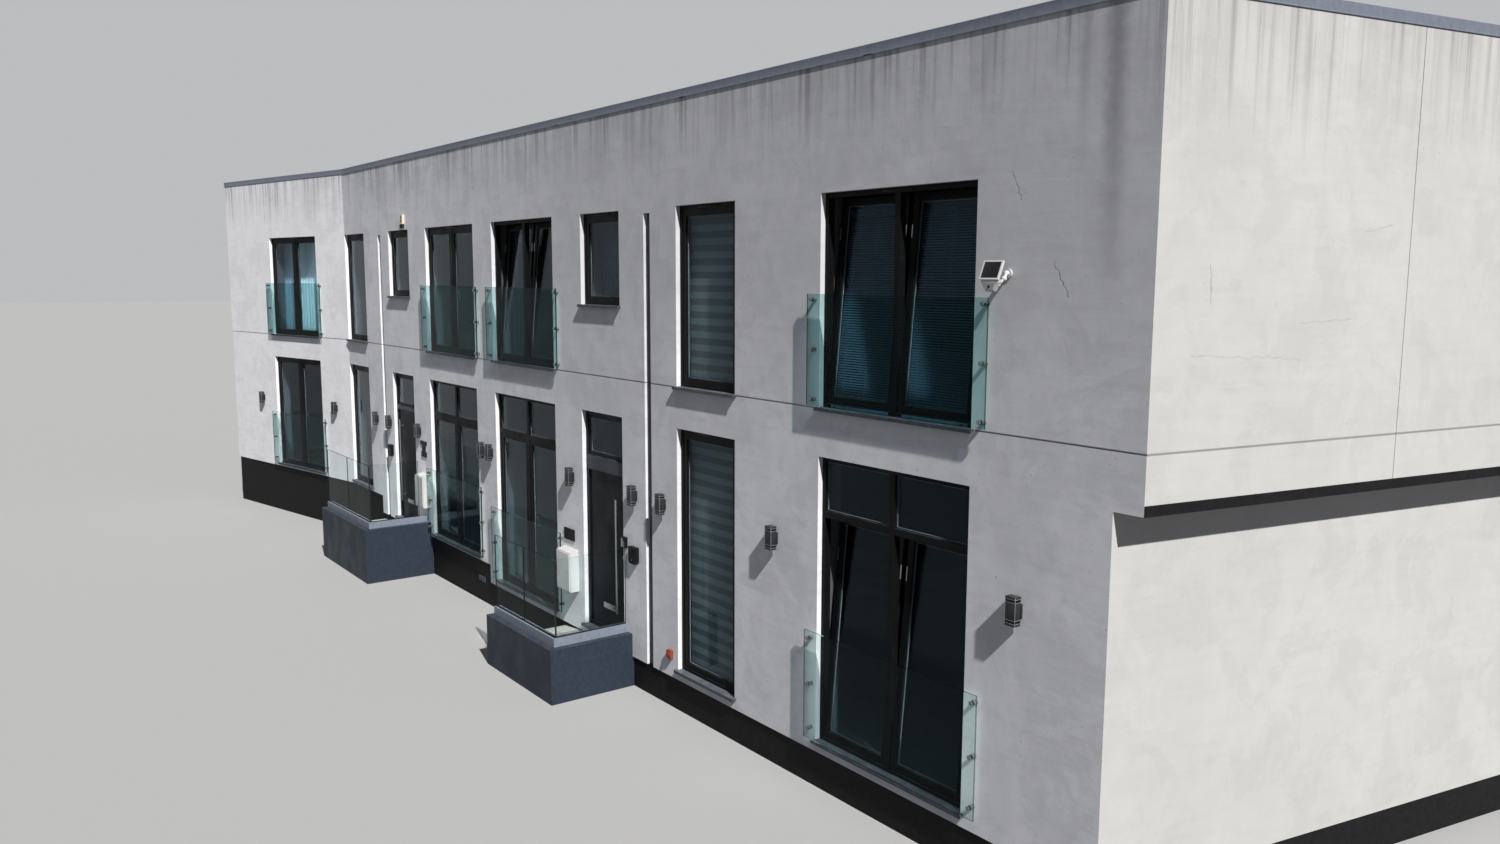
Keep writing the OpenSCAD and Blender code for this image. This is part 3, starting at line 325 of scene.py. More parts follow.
def render_coat(name, tones, broad, narrow, cracks=(), end_tones=None, top_darkening=0.0, pale_left=0.0, shown_side=0.0,
                smudge=0.15):
    """Streaks are (reach, strength[, strands]); a crack is (axis, start, foot, run, drop, width, depth)."""
    coat = Coat(name, roughness=0.85, specular=0.2)
    z = coat.axes["Z"]
    light, dark, stain = tones
    clouds = coat.use(clouding, Size=0.55, Upright=0.8)
    tone = coat.blend(clouds["Shade"], dark, light)
    left = coat.axes["X"].ramp(-3.5, 4.0, 1.0, 0.0) * pale_left
    # The face grows darker towards the top, over the upper storey.
    darker_top = z.ramp(2.6, 5.4) * top_darkening * (1.0 - left)
    if end_tones:
        end_face = abs(coat.facing("Y")).ramp(0.6, 0.8)
        tone = coat.blend(end_face, tone, coat.blend(clouds["Shade"], end_tones[1], end_tones[0]))
        stain = coat.blend(end_face, stain, end_tones[2])
        darker_top = darker_top * end_face
    tone = coat.blend(darker_top, tone, stain)
    tone = coat.blend(left * 0.5, tone, PALE_RENDER)
    trowel = coat.noise(coat.stretched(1.6, 1.6, 14.0), 1.0, 5.0, 0.7)
    smudges = coat.noise(coat.point, 1.6, 7.0, 0.68, 0.5)
    pits = coat.noise(coat.point, 30.0, 1.0)
    for mask, amount in ((trowel.ramp(0.45, 0.75), 0.14), (smudges.ramp(0.49, 0.57), smudge),
                         (clouds["Fine"], 0.14), (pits.ramp(0.76, 0.80), 0.6)):
        tone = coat.blend(mask * amount, tone, stain)
    wide = coat.use(run_off, Top=COPING_LINE, Reach=broad[0], Strands=3.5)["Mask"]
    thin = coat.use(run_off, Top=COPING_LINE, Reach=narrow[0], Strands=narrow[2], From=0.47, Till=0.68)["Mask"]
    marks = (wide * broad[1] + thin * narrow[1]).clamped()
    # A dark line along the storey joint is partly dirt and partly painted shade in the joint's groove.
    marks = z.step("MAXIMUM", marks, abs(z - STOREY_LINE).ramp(0.004, 0.012, 0.75, 0.0))
    for axis, start, foot, run, drop, width, depth in cracks:
        mask = coat.use(crack, Along=coat.axes[axis], Height=z, Start=start, Foot=foot, Run=run, Drop=drop,
                        Width=width)["Mask"]
        if width > BROAD_STAIN:
            mask = mask.ramp(0.0, 1.0) * z.ramp(foot, foot + drop)
            if end_tones:
                mask = mask * end_face
        marks = z.step("MAXIMUM", marks, mask * depth)
    outside = coat.blend(marks, tone, coat.blend(SOOT_AND_SHADE, stain, (0.0, 0.0, 0.0)))
    # Indoor faces behind the windows take a dark tone, painted shade for the dim light of the rooms.
    inside = coat.use(indoors, Sideways=shown_side)["Mask"]
    coat["Base Color"] = coat.blend(inside, outside, INDOOR_PAINTED_SHADE)
    sand = coat.use(grit, Grain=420.0, Waves=3.5, Share=0.25)["Height"]
    coat.lift(sand + trowel * 0.3 - marks * 0.2, 0.005, 0.7)


# One render in three tone sets: painted darker on the sunlit side wall, paler on the raking-lit street face and wing.
street_tones = (0.755, 0.755, 0.785), (0.680, 0.680, 0.706), (0.33, 0.330, 0.345)
wing_tones = (0.845, 0.845, 0.870), (0.795, 0.795, 0.819), (0.44, 0.440, 0.456)
gable_tones = (0.489, 0.483, 0.475), (0.459, 0.453, 0.445), (0.343, 0.334, 0.317)
corner_stains = [("X", 10.70, 4.40, -0.03, 2.40, 0.15, 0.60), ("X", 10.40, 5.60, 0.02, 1.20, 0.08, 0.35)]
street_cracks = [("X", 9.794, 5.760, 0.086, -0.228, 0.006, 0.9), ("X", 10.206, 5.068, 0.145, -0.253, 0.006, 0.9),
                 ("X", 4.32, 2.05, 0.22, 0.03, 0.004, 0.5), ("X", 8.05, 3.30, 0.05, -0.16, 0.005, 0.5)]
gable_cracks = [("Y", 0.35, 5.05, 0.02, -0.28, 0.006, 0.55), ("Y", 1.25, 4.62, 0.55, 0.03, 0.005, 0.35),
                ("Y", 1.9, 5.3, 0.30, 0.05, 0.006, 0.35), ("Y", 0.2, 4.42, 1.10, -0.06, 0.005, 0.30)]
wing_streaks = (0.8, 0.25), (0.9, 0.60, 15.0)
render_coat("street_render", street_tones, (0.8, 0.30), (0.6, 0.55, 15.0), street_cracks + corner_stains,
            top_darkening=0.36, pale_left=0.9)
render_coat("wing_render", wing_tones, *wing_streaks)
render_coat("end_render", wing_tones, *wing_streaks, shown_side=-1.0)
render_coat("gable_render", gable_tones, (0.9, 0.26), (0.8, 0.42, 14.0), gable_cracks + corner_stains,
            end_tones=street_tones, top_darkening=0.36, smudge=0.17)

# %% [markdown]
# ## Plain coats
# Many coats need only two tones, a shine and a grain. The tones are mixed by one of the clouding's two results,
# the slow one or the fine one.

# %% Plain coats
def plain_coat(name, colour, other, roughness, specular, clouds, grain, depth, cloud="Shade", specks=0.0):
    """Clouds are (size, upright) and grain is (scale, scale of the waves, share of the grain)."""
    coat = Coat(name, roughness, specular)
    drift = coat.use(clouding, Size=clouds[0], Upright=clouds[1])
    tone = coat.blend(drift[cloud], colour, other)
    coat["Base Color"] = coat.blend(drift["Fine"] * specks, tone, colour) if specks else tone
    coat.lift(coat.use(grit, Grain=grain[0], Waves=grain[1], Share=grain[2])["Height"], depth)


plain_coat("bitumen_band", (0.004, 0.004, 0.005), (0.009, 0.009, 0.010), 0.7, 0.15, (2.0, 1.0), (160.0, 9.0, 0.5),
           0.003, cloud="Fine")
# The floor slabs and the party wall stand indoors; their very dark tones are painted shade for the dim rooms.
for name, dark, light in (("concrete_in_painted_shade", (0.060, 0.059, 0.057), (0.085, 0.083, 0.080)),
                          ("plaster_in_painted_shade", (0.075, 0.075, 0.076), (0.10, 0.10, 0.10))):
    plain_coat(name, dark, light, 0.85, 0.2, (0.9, 1.0), (150.0, 7.0, 0.4), 0.003, specks=0.3)
for name, colour, faded, roughness, specular in (
        ("white_plastic", (0.53, 0.535, 0.53), (0.47, 0.472, 0.465), 0.45, 0.35),
        ("cream_plastic", (0.60, 0.54, 0.43), (0.52, 0.46, 0.36), 0.5, 0.35),
        ("black_plastic", (0.005, 0.005, 0.006), (0.009, 0.009, 0.010), 0.45, 0.12),
        ("red_plastic", (0.27, 0.048, 0.026), (0.21, 0.042, 0.026), 0.5, 0.35),
        ("rubber", (0.006, 0.006, 0.007), (0.012, 0.012, 0.013), 0.6, 0.35),
        ("roofing_felt", (0.040, 0.041, 0.043), (0.060, 0.061, 0.063), 0.9, 0.35)):
    plain_coat(name, colour, faded, roughness, specular, (4.0, 0.5), (700.0, 12.0, 0.4), 0.0006)

# %% [markdown]
# ## Powder-coated metal
# Window frames, sills, doors, cladding and coping are metal with baked powder paint. Powder gives a fine
# orange-peel skin and a satin shine that varies a little, and it gathers dust on faces that look up.

# %% Painted metals
DUST_TONE = (0.20, 0.21, 0.22)


def painted_metal(name, colour, worn, roughness, dust=0.15, specular=0.2, peel=0.0004):
    coat = Coat(name, roughness, specular)
    clouds = coat.use(clouding, Size=2.5, Upright=0.7)
    dusty = coat.use(settled, Size=7.0, Amount=dust)["Mask"]
    coat["Base Color"] = coat.blend(dusty, coat.blend(clouds["Fine"], colour, worn), DUST_TONE)
    coat["Roughness"] = clouds["Shade"].ramp(0.0, 1.0, roughness - 0.06, roughness + 0.08)
    coat.lift(coat.use(grit, Grain=900.0, Waves=30.0, Share=0.6)["Height"], peel)


for metal in (
    ("frame_metal", (0.003, 0.0033, 0.004), (0.0055, 0.006, 0.007), 0.5, 0.15, 0.08, 0.0002),
    ("door_metal", (0.0065, 0.0078, 0.0105), (0.010, 0.012, 0.0155), 0.5, 0.15, 0.1, 0.0002),
    ("sill_metal", (0.050, 0.057, 0.070), (0.072, 0.080, 0.095), 0.5, 0.3),
    ("coping_metal", (0.128, 0.143, 0.180), (0.158, 0.174, 0.212), 0.55, 0.1, 0.15),
    ("plinth_cladding", (0.022, 0.029, 0.042), (0.029, 0.038, 0.054), 0.5, 0.1, 0.12),
    ("capping_metal", (0.15, 0.175, 0.215), (0.19, 0.215, 0.255), 0.45),
    ("light_metal", (0.018, 0.020, 0.023), (0.026, 0.028, 0.032), 0.4),
    # Pale paint of the wall lights' edge strips, a painted highlight.
    ("highlight_paint", (0.20, 0.205, 0.21), (0.26, 0.265, 0.27), 0.4, 0.0),
    ("slat_paint", (0.11, 0.17, 0.21), (0.14, 0.20, 0.25), 0.5, 0.1, 0.15),
    ("spacer_metal", (0.10, 0.11, 0.115), (0.14, 0.15, 0.155), 0.45, 0.0),
    ("transom_metal", (0.030, 0.036, 0.046), (0.040, 0.047, 0.058), 0.45),
    ("pipe_paint", (0.045, 0.047, 0.052), (0.060, 0.062, 0.068), 0.5),
    ("strip_metal", (0.05, 0.13, 0.19), (0.07, 0.16, 0.22), 0.3, 0.0, 0.3),
    ("solar_black", (0.003, 0.003, 0.005), (0.006, 0.006, 0.010), 0.22, 0.0, 0.3),
    ("dark_steel", (0.10, 0.10, 0.10), (0.16, 0.16, 0.155), 0.25, 0.0, 1.0)):
    painted_metal(*metal)

# %% [markdown]
# ## Glass
# Window panes look dark because the rooms behind them are dark. The guards are sheets with a sea-green cut edge,
# deeper in tone upstairs than down. All are real glass in the shader. A lamp's ray would stop at such glass, so a
# Light Path lets the light through as a thin tinted film, and the shadow of a guard stays pale on the wall.

# %% Glass finishes
def glass(name, tint, shadow, bend, edge=None, faces="Y", shine=(1.0, 1.0, 1.0)):
    """Faces tells how the cut edges are found: Z marks tops and feet, Y marks all that is square to the street."""
    coat = Coat(name, roughness=0.0)
    coat["Transmission Weight"], coat["IOR"], coat["Base Color"], coat["Specular Tint"] = 1.0, bend, tint, shine
    if edge:
        square = abs(coat.facing(faces)).ramp(0.5, 0.9)
        coat["Base Color"] = coat.blend(1.0 - square if faces == "Y" else square, tint, edge)
    film = coat.add("BsdfTransparent", {"Color": shadow})[0]
    shown = Wires(coat, coat.target)[0]
    mix = coat.add("MixShader", {0: coat.add("LightPath")["Is Shadow Ray"], 1: shown, 2: film})[0]
    coat.plug(mix, coat.tree.nodes["Material Output"].inputs["Surface"])


glass("window_glass", (0.46, 0.61, 0.71), (0.90, 0.95, 0.97), 1.2, shine=(0.55, 0.8, 1.0))
glass("teal_guard_glass", (0.46, 0.63, 0.63), (0.32, 0.35, 0.37), 1.08, edge=(0.05, 0.12, 0.11))
glass("clear_guard_glass", (0.68, 0.78, 0.77), (0.40, 0.43, 0.45), 1.08, edge=(0.12, 0.22, 0.20))
glass("screen_glass", (0.84, 0.91, 0.91), (0.60, 0.63, 0.64), 1.05, edge=(0.20, 0.38, 0.35), faces="Z")
glass("smoked_glass", (0.04, 0.045, 0.05), (0.10, 0.10, 0.11), 1.25)

# %% [markdown]
# ## Steel, paving and cloth
# Brushed steel has fine drag lines that change its tone and its shine together. The landing slabs are a brick
# pattern. Cloth is told by its weave: very small threads lift the surface. The roller blind has woven bands, dark
# and pale by turns, drawn by the height.

# %% Brushed steel
steel = Coat("brushed_steel", roughness=0.3, metallic=1.0)
drag = steel.noise(steel.stretched(30, 30, 900), 1.0, 3.0)
steel["Base Color"] = steel.blend(drag, (0.32, 0.32, 0.32), (0.46, 0.46, 0.455))
steel["Roughness"] = drag.ramp(0.2, 0.8, 0.22, 0.40)
steel.lift(drag, 0.0002)

# %% Landing slabs
paving = Coat("landing_slabs", roughness=0.8, specular=0.3)
slabs = paving.add("TexBrick", {"Vector": paving.point, "Color1": (0.34, 0.33, 0.32), "Color2": (0.42, 0.41, 0.40),
                                "Mortar": (0.16, 0.155, 0.15), "Scale": 1.0, "Mortar Size": 0.006,
                                "Brick Width": 0.6, "Row Height": 0.4})
worn = paving.use(clouding, Size=3.0, Upright=1.0)["Fine"] * 0.35
paving["Base Color"] = paving.blend(worn, slabs[0], (0.25, 0.24, 0.23))
paving.lift(paving.use(grit, Grain=200.0)["Height"] - slabs[1], 0.004)

# %% Cloths
BAND_PITCH = 0.143


def cloth(name, colour, faded, band=None):
    """Band is the tone of every second band."""
    coat = Coat(name, roughness=0.95, specular=0.1)
    tone = coat.blend(coat.use(clouding, Size=3.0, Upright=0.4)["Fine"], colour, faded)
    if band:
        share = coat.axes["Z"].step("FRACT", coat.axes["Z"] / BAND_PITCH)
        tone = coat.blend(share > 0.5, tone, band)
    coat["Base Color"] = tone
    threads = coat.add("TexVoronoi", {"Vector": coat.stretched(900, 900, 1100), "Scale": 1.0})
    coat.lift(threads["Distance"], 0.0004)


cloth("banded_cloth", (0.155, 0.148, 0.135), (0.18, 0.172, 0.157), band=(0.098, 0.086, 0.076))
cloth("dark_cloth", (0.060, 0.062, 0.068), (0.085, 0.087, 0.092))
cloth("pale_cloth", (0.78, 0.77, 0.74), (0.70, 0.69, 0.66))
cloth("blue_cloth", (0.24, 0.29, 0.32), (0.29, 0.34, 0.37))
print("coats:", len(coat_of))

# %% [markdown]
# ## Dressing the CAD nodes
# A CAD node keeps its mesh and only changes its coat. A table of coats and node names is easier to read and to
# change than a line for every node. The start of a name is enough where all nodes that begin so share a coat.

# %% Coats on the nodes
coats = {
    "street_render": "front_wall door_surrounds rear_wall",
    "wing_render": "wing_wall",
    "end_render": "end_wall",
    "gable_render": "gable_wall",
    "bitumen_band": "base_walls gable_flashing",
    "plaster_in_painted_shade": "party_wall",
    "concrete_in_painted_shade": "ground_floor upper_floor",
    "roofing_felt": "roof_slab",
    "frame_metal": "window_frames sashes",
    "pipe_paint": "rainwater_pipes",
    "sill_metal": "sills air_brick",
    "coping_metal": "coping",
    "window_glass": "window_glass door_lights",
    "teal_guard_glass": "guard_glass_upper",
    "clear_guard_glass": "guard_glass_lower",
    "screen_glass": "plinth_glass",
    "dark_steel": "guard_standoffs",
    "brushed_steel": "door_fittings",
    "door_metal": "door_frame door_leaf",
    "plinth_cladding": "plinth_right plinth_left",
    "capping_metal": "plinth_cappings",
    "landing_slabs": "landings",
    "light_metal": "wall_lights",
    "white_plastic": "meter_boxes security_light striped_blinds",
    "cream_plastic": "alarm_box",
    "black_plastic": "post_boxes door_plates",
    "red_plastic": "socket_box",
    "slat_paint": "slat_blinds",
    "dark_cloth": "curtains",
}
dressed = [(node, coat) for coat, starts in coats.items() for name, node in nodes.items()
           if name.startswith(tuple(starts.split()))]
for node, coat in dressed:
    for slot in node.material_slots:
        slot.material = coat_of[coat]
print("nodes dressed:", len(dressed), "of", len(nodes))

# %% [markdown]
# ## Finding the solids of a node
# A CAD node such as the window glass holds many separate panes, so its mesh is first split into solids by shared
# corners. Each solid is then boxed in the direction of its own wall: along the street, the turned wing or the rear.
# A tilted sash leans as well. The box gives a local frame: X runs along the wall, Y into the house and Z upwards.

# %% Solids and their frames
TILT, REAR_LIMIT, UPRIGHT = math.radians(5.0), 3.0, (0.0,)


def solids(name):
    """The separate solids of a CAD node, each as a list of its corners."""
    mesh = nodes[name].data
    corners = [tuple(round(c, 5) for c in vertex.co) for vertex in mesh.vertices]
    leader = {corner: corner for corner in corners}

    def lead(corner):
        while leader[corner] != corner:
            leader[corner] = leader[leader[corner]]
            corner = leader[corner]
        return corner

    for polygon in mesh.polygons:
        first = lead(corners[polygon.vertices[0]])
        for index in polygon.vertices[1:]:
            leader[lead(corners[index])] = first
    groups = {}
    for corner in leader:
        groups.setdefault(lead(corner), []).append(Vector(corner))
    return list(groups.values())


def fitted(points, leans=UPRIGHT):
    """The tightest box round the points: the matrix of its lower, outer left corner, and its size."""
    turns = (math.pi,) if points[0].y > REAR_LIMIT else (0.0, WING_TURN)
    best = None
    for turned in (Matrix.Rotation(turn, 4, "Z") @ Matrix.Rotation(-lean, 4, "X") for turn in turns for lean in leans):
        local = [turned.inverted() @ point for point in points]
        low, high = (Vector([side(point[i] for point in local) for i in range(3)]) for side in (min, max))
        size = high - low
        volume = size.x * size.y * size.z
        if best is None or volume < best[0] * 0.999:
            best = (volume, turned @ Matrix.Translation(low), size)
    return best[1:]


def framed(names, leans=UPRIGHT):
    """The local frame and size of every solid of the named nodes."""
    return [fitted(points, leans) for name in names.split() for points in solids(name)]


panes = framed("window_glass_upper window_glass_lower door_lights", (0.0, TILT))
print("panes:", len(panes), "first is", [round(v, 3) for v in panes[0][1]])

# %% [markdown]
# ## A part under construction
# A part collects bars with softened edges, rods and small balls in one mesh. When it is complete it becomes an
# object, gets its coat, rides on its body and, where it stands for a CAD node, hides that node.

# %% Part builder
class Part:
    """Collects shapes in one mesh and then becomes one piece."""

    def __init__(self):
        self.mesh = bmesh.new()

    def bar(self, at, low, high, edge=0.0):
        """A block between two corners, with its edges rounded off."""
        low, high = Vector(low), Vector(high)
        box = Matrix.Translation((low + high) / 2) @ Matrix.Diagonal((*(high - low), 1.0))
        made = bmesh.ops.create_cube(self.mesh, size=1.0, matrix=at @ box)
        if edge:
            edges = sorted({e for v in made["verts"] for e in v.link_edges}, key=lambda e: e.index)
            bmesh.ops.bevel(self.mesh, geom=edges, offset=edge, segments=2, affect="EDGES", profile=0.5)

    def ring(self, at, size, inset, width, near, far):
        """Four bars round the edge of a box, between two depths."""
        right, head, within = size.x - inset, size.z - inset, inset + width
        for x, z, to_x, to_z in ((inset, inset, within, head), (right - width, inset, right, head),
                                 (within, inset, right - width, within), (within, head - width, right - width, head)):
            self.bar(at, (x, near, z), (to_x, far, to_z))

    def rod(self, at, start, end, radius, sides=20):
        """A round bar between two points."""
        start, end = at @ Vector(start), at @ Vector(end)
        turned = (end - start).to_track_quat("Z", "Y").to_matrix().to_4x4()
        bmesh.ops.create_cone(self.mesh, cap_ends=True, segments=sides, radius1=radius, radius2=radius,
                              depth=(end - start).length, matrix=Matrix.Translation((start + end) / 2) @ turned)

    def ball(self, at, centre, radius):
        """A ball, as at a swivel."""
        bmesh.ops.create_uvsphere(self.mesh, u_segments=20, v_segments=12, radius=radius,
                                  matrix=Matrix.Translation(at @ Vector(centre)))

    def skin(self, rows):
        """A cloth or a sheet through rows of points."""
        grid = [[self.mesh.verts.new(point) for point in row] for row in rows]
        for below, above in zip(grid, grid[1:]):
            for corners in zip(below, below[1:], above[1:], above):
                self.mesh.faces.new(corners)

    def prism(self, first, last):
        """A solid between two outlines with the same number of corners."""
        ends = [[self.mesh.verts.new(point) for point in outline] for outline in (first, last)]
        self.mesh.faces.new(ends[0][::-1])
        self.mesh.faces.new(ends[1])
        near, far = ends
        for corners in zip(near, near[1:] + near[:1], far[1:] + far[:1], far):
            self.mesh.faces.new(corners)

    def piece(self, name, coat, slot=None, body="houses", replaces=None, smooth=35.0):
        """Turns the part into an object that rides on its body. The slot argument is not used."""
        bmesh.ops.recalc_face_normals(self.mesh, faces=self.mesh.faces)
        data = bpy.data.meshes.new(name)
        self.mesh.to_mesh(data)
        self.mesh.free()
        data.materials.append(coat_of[coat])
        data.shade_smooth()
        data.set_sharp_from_angle(angle=math.radians(smooth))
        made = bpy.data.objects.new(name, data)
        scene.collection.objects.link(made)
        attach(made, body)
        if replaces:
            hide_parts(replaces)
        print("made", name, "with", len(data.polygons), "faces")
        return made

# %% [markdown]
# ## Seals and spacers of the panes
# A sealed pane sits between black rubber gaskets, and a grey metal spacer keeps its two sheets apart. Both are
# rings of thin bars that follow the pane's box, so tilted sashes need no special care.

# %% Gaskets and spacers
GASKET, SEAL, SINK = 0.006, 0.003, 0.0005
SPACER_INSET, SPACER_WIDTH, SHEET_THICKNESS = 0.007, 0.005, 0.005
gaskets, spacers = Part(), Part()
for at, size in panes:
    for near, far in ((-SEAL, SINK), (size.y - SINK, size.y + SEAL)):
        gaskets.ring(at, size, 0.0, GASKET, near, far)
    spacers.ring(at, size, SPACER_INSET, SPACER_WIDTH, SHEET_THICKNESS, size.y - SHEET_THICKNESS)
gaskets.piece("pane_gaskets", "rubber", "black_plastic")
spacers.piece("pane_spacers", "spacer_metal", "steel")

# %% [markdown]
# ## Handles, drain caps and vents of the windows
# A sash has a lever handle inside, on the edge that faces its neighbour, unless a blind hangs on it. Rain in the
# frame's foot leaves by small slots under plastic caps, and a long cover at the head hides the night vent. Tilted
# sashes also show their stay arms at the side.

# %% Window furniture
HANDLE_INSET, HANDLE_REACH, HANDLE_SHARE, MATE_REACH = 0.033, 0.040, 0.48, 1.05
CAP_LENGTH, CAP_INSET, VENT_LENGTH = 0.034, 0.16, 0.36
blinds = framed("slat_blinds", (0.0, TILT))
sashes = framed("sashes_upper sashes_lower", (0.0, TILT))
centres = [at @ (size / 2) for at, size in sashes]
handles, stays, caps = Part(), Part(), Part()
for (at, size), centre in zip(sashes, centres):
    mates = [other for other in centres if 0.01 < (other - centre).length < MATE_REACH]
    to_right = not mates or (at.inverted() @ mates[0]).x > size.x / 2
    x, z, far = size.x - HANDLE_INSET if to_right else HANDLE_INSET, size.z * HANDLE_SHARE, size.y + HANDLE_REACH
    if not any((blind @ (extent / 2) - centre).length < 0.2 for blind, extent in blinds):
        handles.bar(at, (x - 0.014, size.y, z - 0.075), (x + 0.014, size.y + 0.008, z + 0.075), 0.003)
        handles.rod(at, (x, size.y, z + 0.03), (x, far, z + 0.03), 0.008)
        handles.bar(at, (x - 0.009, far - 0.012, z - 0.095), (x + 0.009, far, z + 0.04), 0.004)
    leaning = abs(at.to_3x3().col[2].z) < 0.9999
    for x in (0.006, size.x - 0.006) if leaning else ():
        stays.bar(at, (x - 0.006, -0.004, size.z * 0.80), (x + 0.006, 0.001, size.z * 0.86), 0.001)
        stays.rod(at, (x, -0.006, size.z * 0.81), (x, 0.001, size.z * 0.81), 0.004, 12)
for at, size in framed("window_frames_upper window_frames_lower"):
    for x in (CAP_INSET, size.x - CAP_INSET):
        caps.bar(at, (x - CAP_LENGTH / 2, -0.004, 0.020), (x + CAP_LENGTH / 2, 0.001, 0.030), 0.0015)
    left, right = (size.x - VENT_LENGTH) / 2, (size.x + VENT_LENGTH) / 2
    caps.bar(at, (left, -0.009, size.z - 0.036), (right, 0.001, size.z - 0.016), 0.003)
handles.piece("sash_handles", "brushed_steel", "steel")
stays.piece("tilt_stays", "brushed_steel", "steel")
caps.piece("drain_caps_and_vents", "black_plastic")

# %% [markdown]
# ## Slatted blinds
# The outer upper window has fine slatted blinds clipped to its tilted sashes. A slat is a strip of thin metal with
# a slight crown, turned so that its inner edge is higher. The slats hang on ladder cords between two rails.

# %% Slats
SLAT_PITCH, SLAT_DEPTH, SLAT_RISE, SLAT_CROWN, SLAT_SKIN = 0.0233, 0.016, 0.011, 0.0016, 0.0006
slats = Part()
for at, size in blinds:
    slats.bar(at, (0, 0.0005, size.z - 0.025), (size.x, size.y, size.z), 0.002)
    slats.bar(at, (0.002, 0.003, 0), (size.x - 0.002, size.y - 0.003, 0.012), 0.002)
    z = 0.024
    while z < size.z - 0.045:
        steps = [step / 4 for step in range(5)]
        profile = [(0.002 + SLAT_DEPTH * t, z + SLAT_RISE * t + SLAT_CROWN * (1 - (2 * t - 1) ** 2)) for t in steps]
        outline = profile + [(y, height - SLAT_SKIN) for y, height in reversed(profile)]
        slats.prism(*([at @ Vector((x, y, height)) for y, height in outline] for x in (0.004, size.x - 0.004)))
        z += SLAT_PITCH
    for x in (0.13, size.x / 2, size.x - 0.13):
        for y in (0.0008, size.y - 0.0022):
            slats.bar(at, (x - 0.001, y, 0.006), (x + 0.001, y + 0.0014, size.z - 0.01))
slats.piece("slatted_blinds", "slat_paint", "blind_metal", replaces="slat_blinds")

# %% [markdown]
# ## Striped roller blinds
# Behind the tall narrow windows hangs a roller blind: a rounded cassette under the head, the banded cloth, and a
# weighted bottom bar.

# %% Roller blinds
BAR_HEIGHT, CASSETTE_HEIGHT, CLOTH_ROWS, CLOTH_COLUMNS, RIPPLE = 0.024, 0.062, 40, 12, 0.0012
cassettes = Part()
for number, (at, size) in enumerate(framed("striped_blinds")):
    foot, middle = size.z - CASSETTE_HEIGHT, size.y / 2
    cassettes.bar(at, (0, 0, foot), tuple(size), 0.014)
    for x in (-0.003, size.x - 0.003):
        cassettes.bar(at, (x, 0.004, foot + 0.004), (x + 0.006, size.y - 0.004, size.z - 0.004), 0.002)
    cassettes.bar(at, (0.004, middle - 0.006, 0), (size.x - 0.004, middle + 0.006, BAR_HEIGHT), 0.004)
    width, length = size.x - 0.012, foot - BAR_HEIGHT / 2 + 0.02
    rows = []
    for row in range(CLOTH_ROWS + 1):
        z = BAR_HEIGHT / 2 + length * row / CLOTH_ROWS
        shares = [column / CLOTH_COLUMNS for column in range(CLOTH_COLUMNS + 1)]
        ripples = [middle + RIPPLE * math.sin(2.1 * share * math.pi + 0.9 * row / 8) for share in shares]
        rows.append([at @ Vector((0.006 + width * share, y, z)) for share, y in zip(shares, ripples)])
    cloth_part = Part()
    cloth_part.skin(rows)
    blind = cloth_part.piece("roller_blind_cloth_%d" % (number + 1), "banded_cloth", "blind_cloth")
cassettes.piece("roller_blind_cassettes", "white_plastic", replaces="striped_blinds")

# %% [markdown]
# ## Curtains
# Cloth that is wider than its drawn width falls in folds: a wave whose depth grows towards the hem and whose phase
# wanders a little. The width of the flat cloth is the length of that wave, measured along the hem.

# %% Curtain cloths
FOLD_PITCH, FOLD_DEPTH, FOLD_STEPS, CURTAIN_ROWS = 0.115, 0.030, 12, 14
TOP_GAP, HEM_GAP, WING_SPLIT = 0.028, 0.004, 0.30


def curtain(name, at, size, left, right, coat, seed):
    """One gathered cloth between two places on its rod."""
    wander = random.Random(seed)
    folds = max(3, round((right - left) / FOLD_PITCH))
    offsets = [wander.uniform(-0.5, 0.5) for _ in range(folds + 1)]
    depths = [wander.uniform(0.75, 1.0) for _ in range(folds + 1)]
    columns, length = folds * FOLD_STEPS, size.z - TOP_GAP - HEM_GAP
    rows = []
    for row in range(CURTAIN_ROWS + 1):
        down = 1 - row / CURTAIN_ROWS
        z = HEM_GAP + length * row / CURTAIN_ROWS
        line = []
        for column in range(columns + 1):
            u = column / FOLD_STEPS
            fold = min(int(u), folds - 1)
            blend = u - fold
            offset, depth = (values[fold] * (1 - blend) + values[fold + 1] * blend for values in (offsets, depths))
            depth *= FOLD_DEPTH
            wave = math.sin(2 * math.pi * u + offset * (0.4 + 1.2 * down))
            x = left + (right - left) * column / columns
            line.append(at @ Vector((x, size.y / 2 + depth * (0.7 + 0.3 * down) * wave, z)))
        rows.append(line)
    flat = sum((b - a).length for a, b in zip(rows[0], rows[0][1:]))
    part = Part()
    part.skin(rows)
    made = part.piece(name, coat, "curtain_cloth", smooth=80.0)


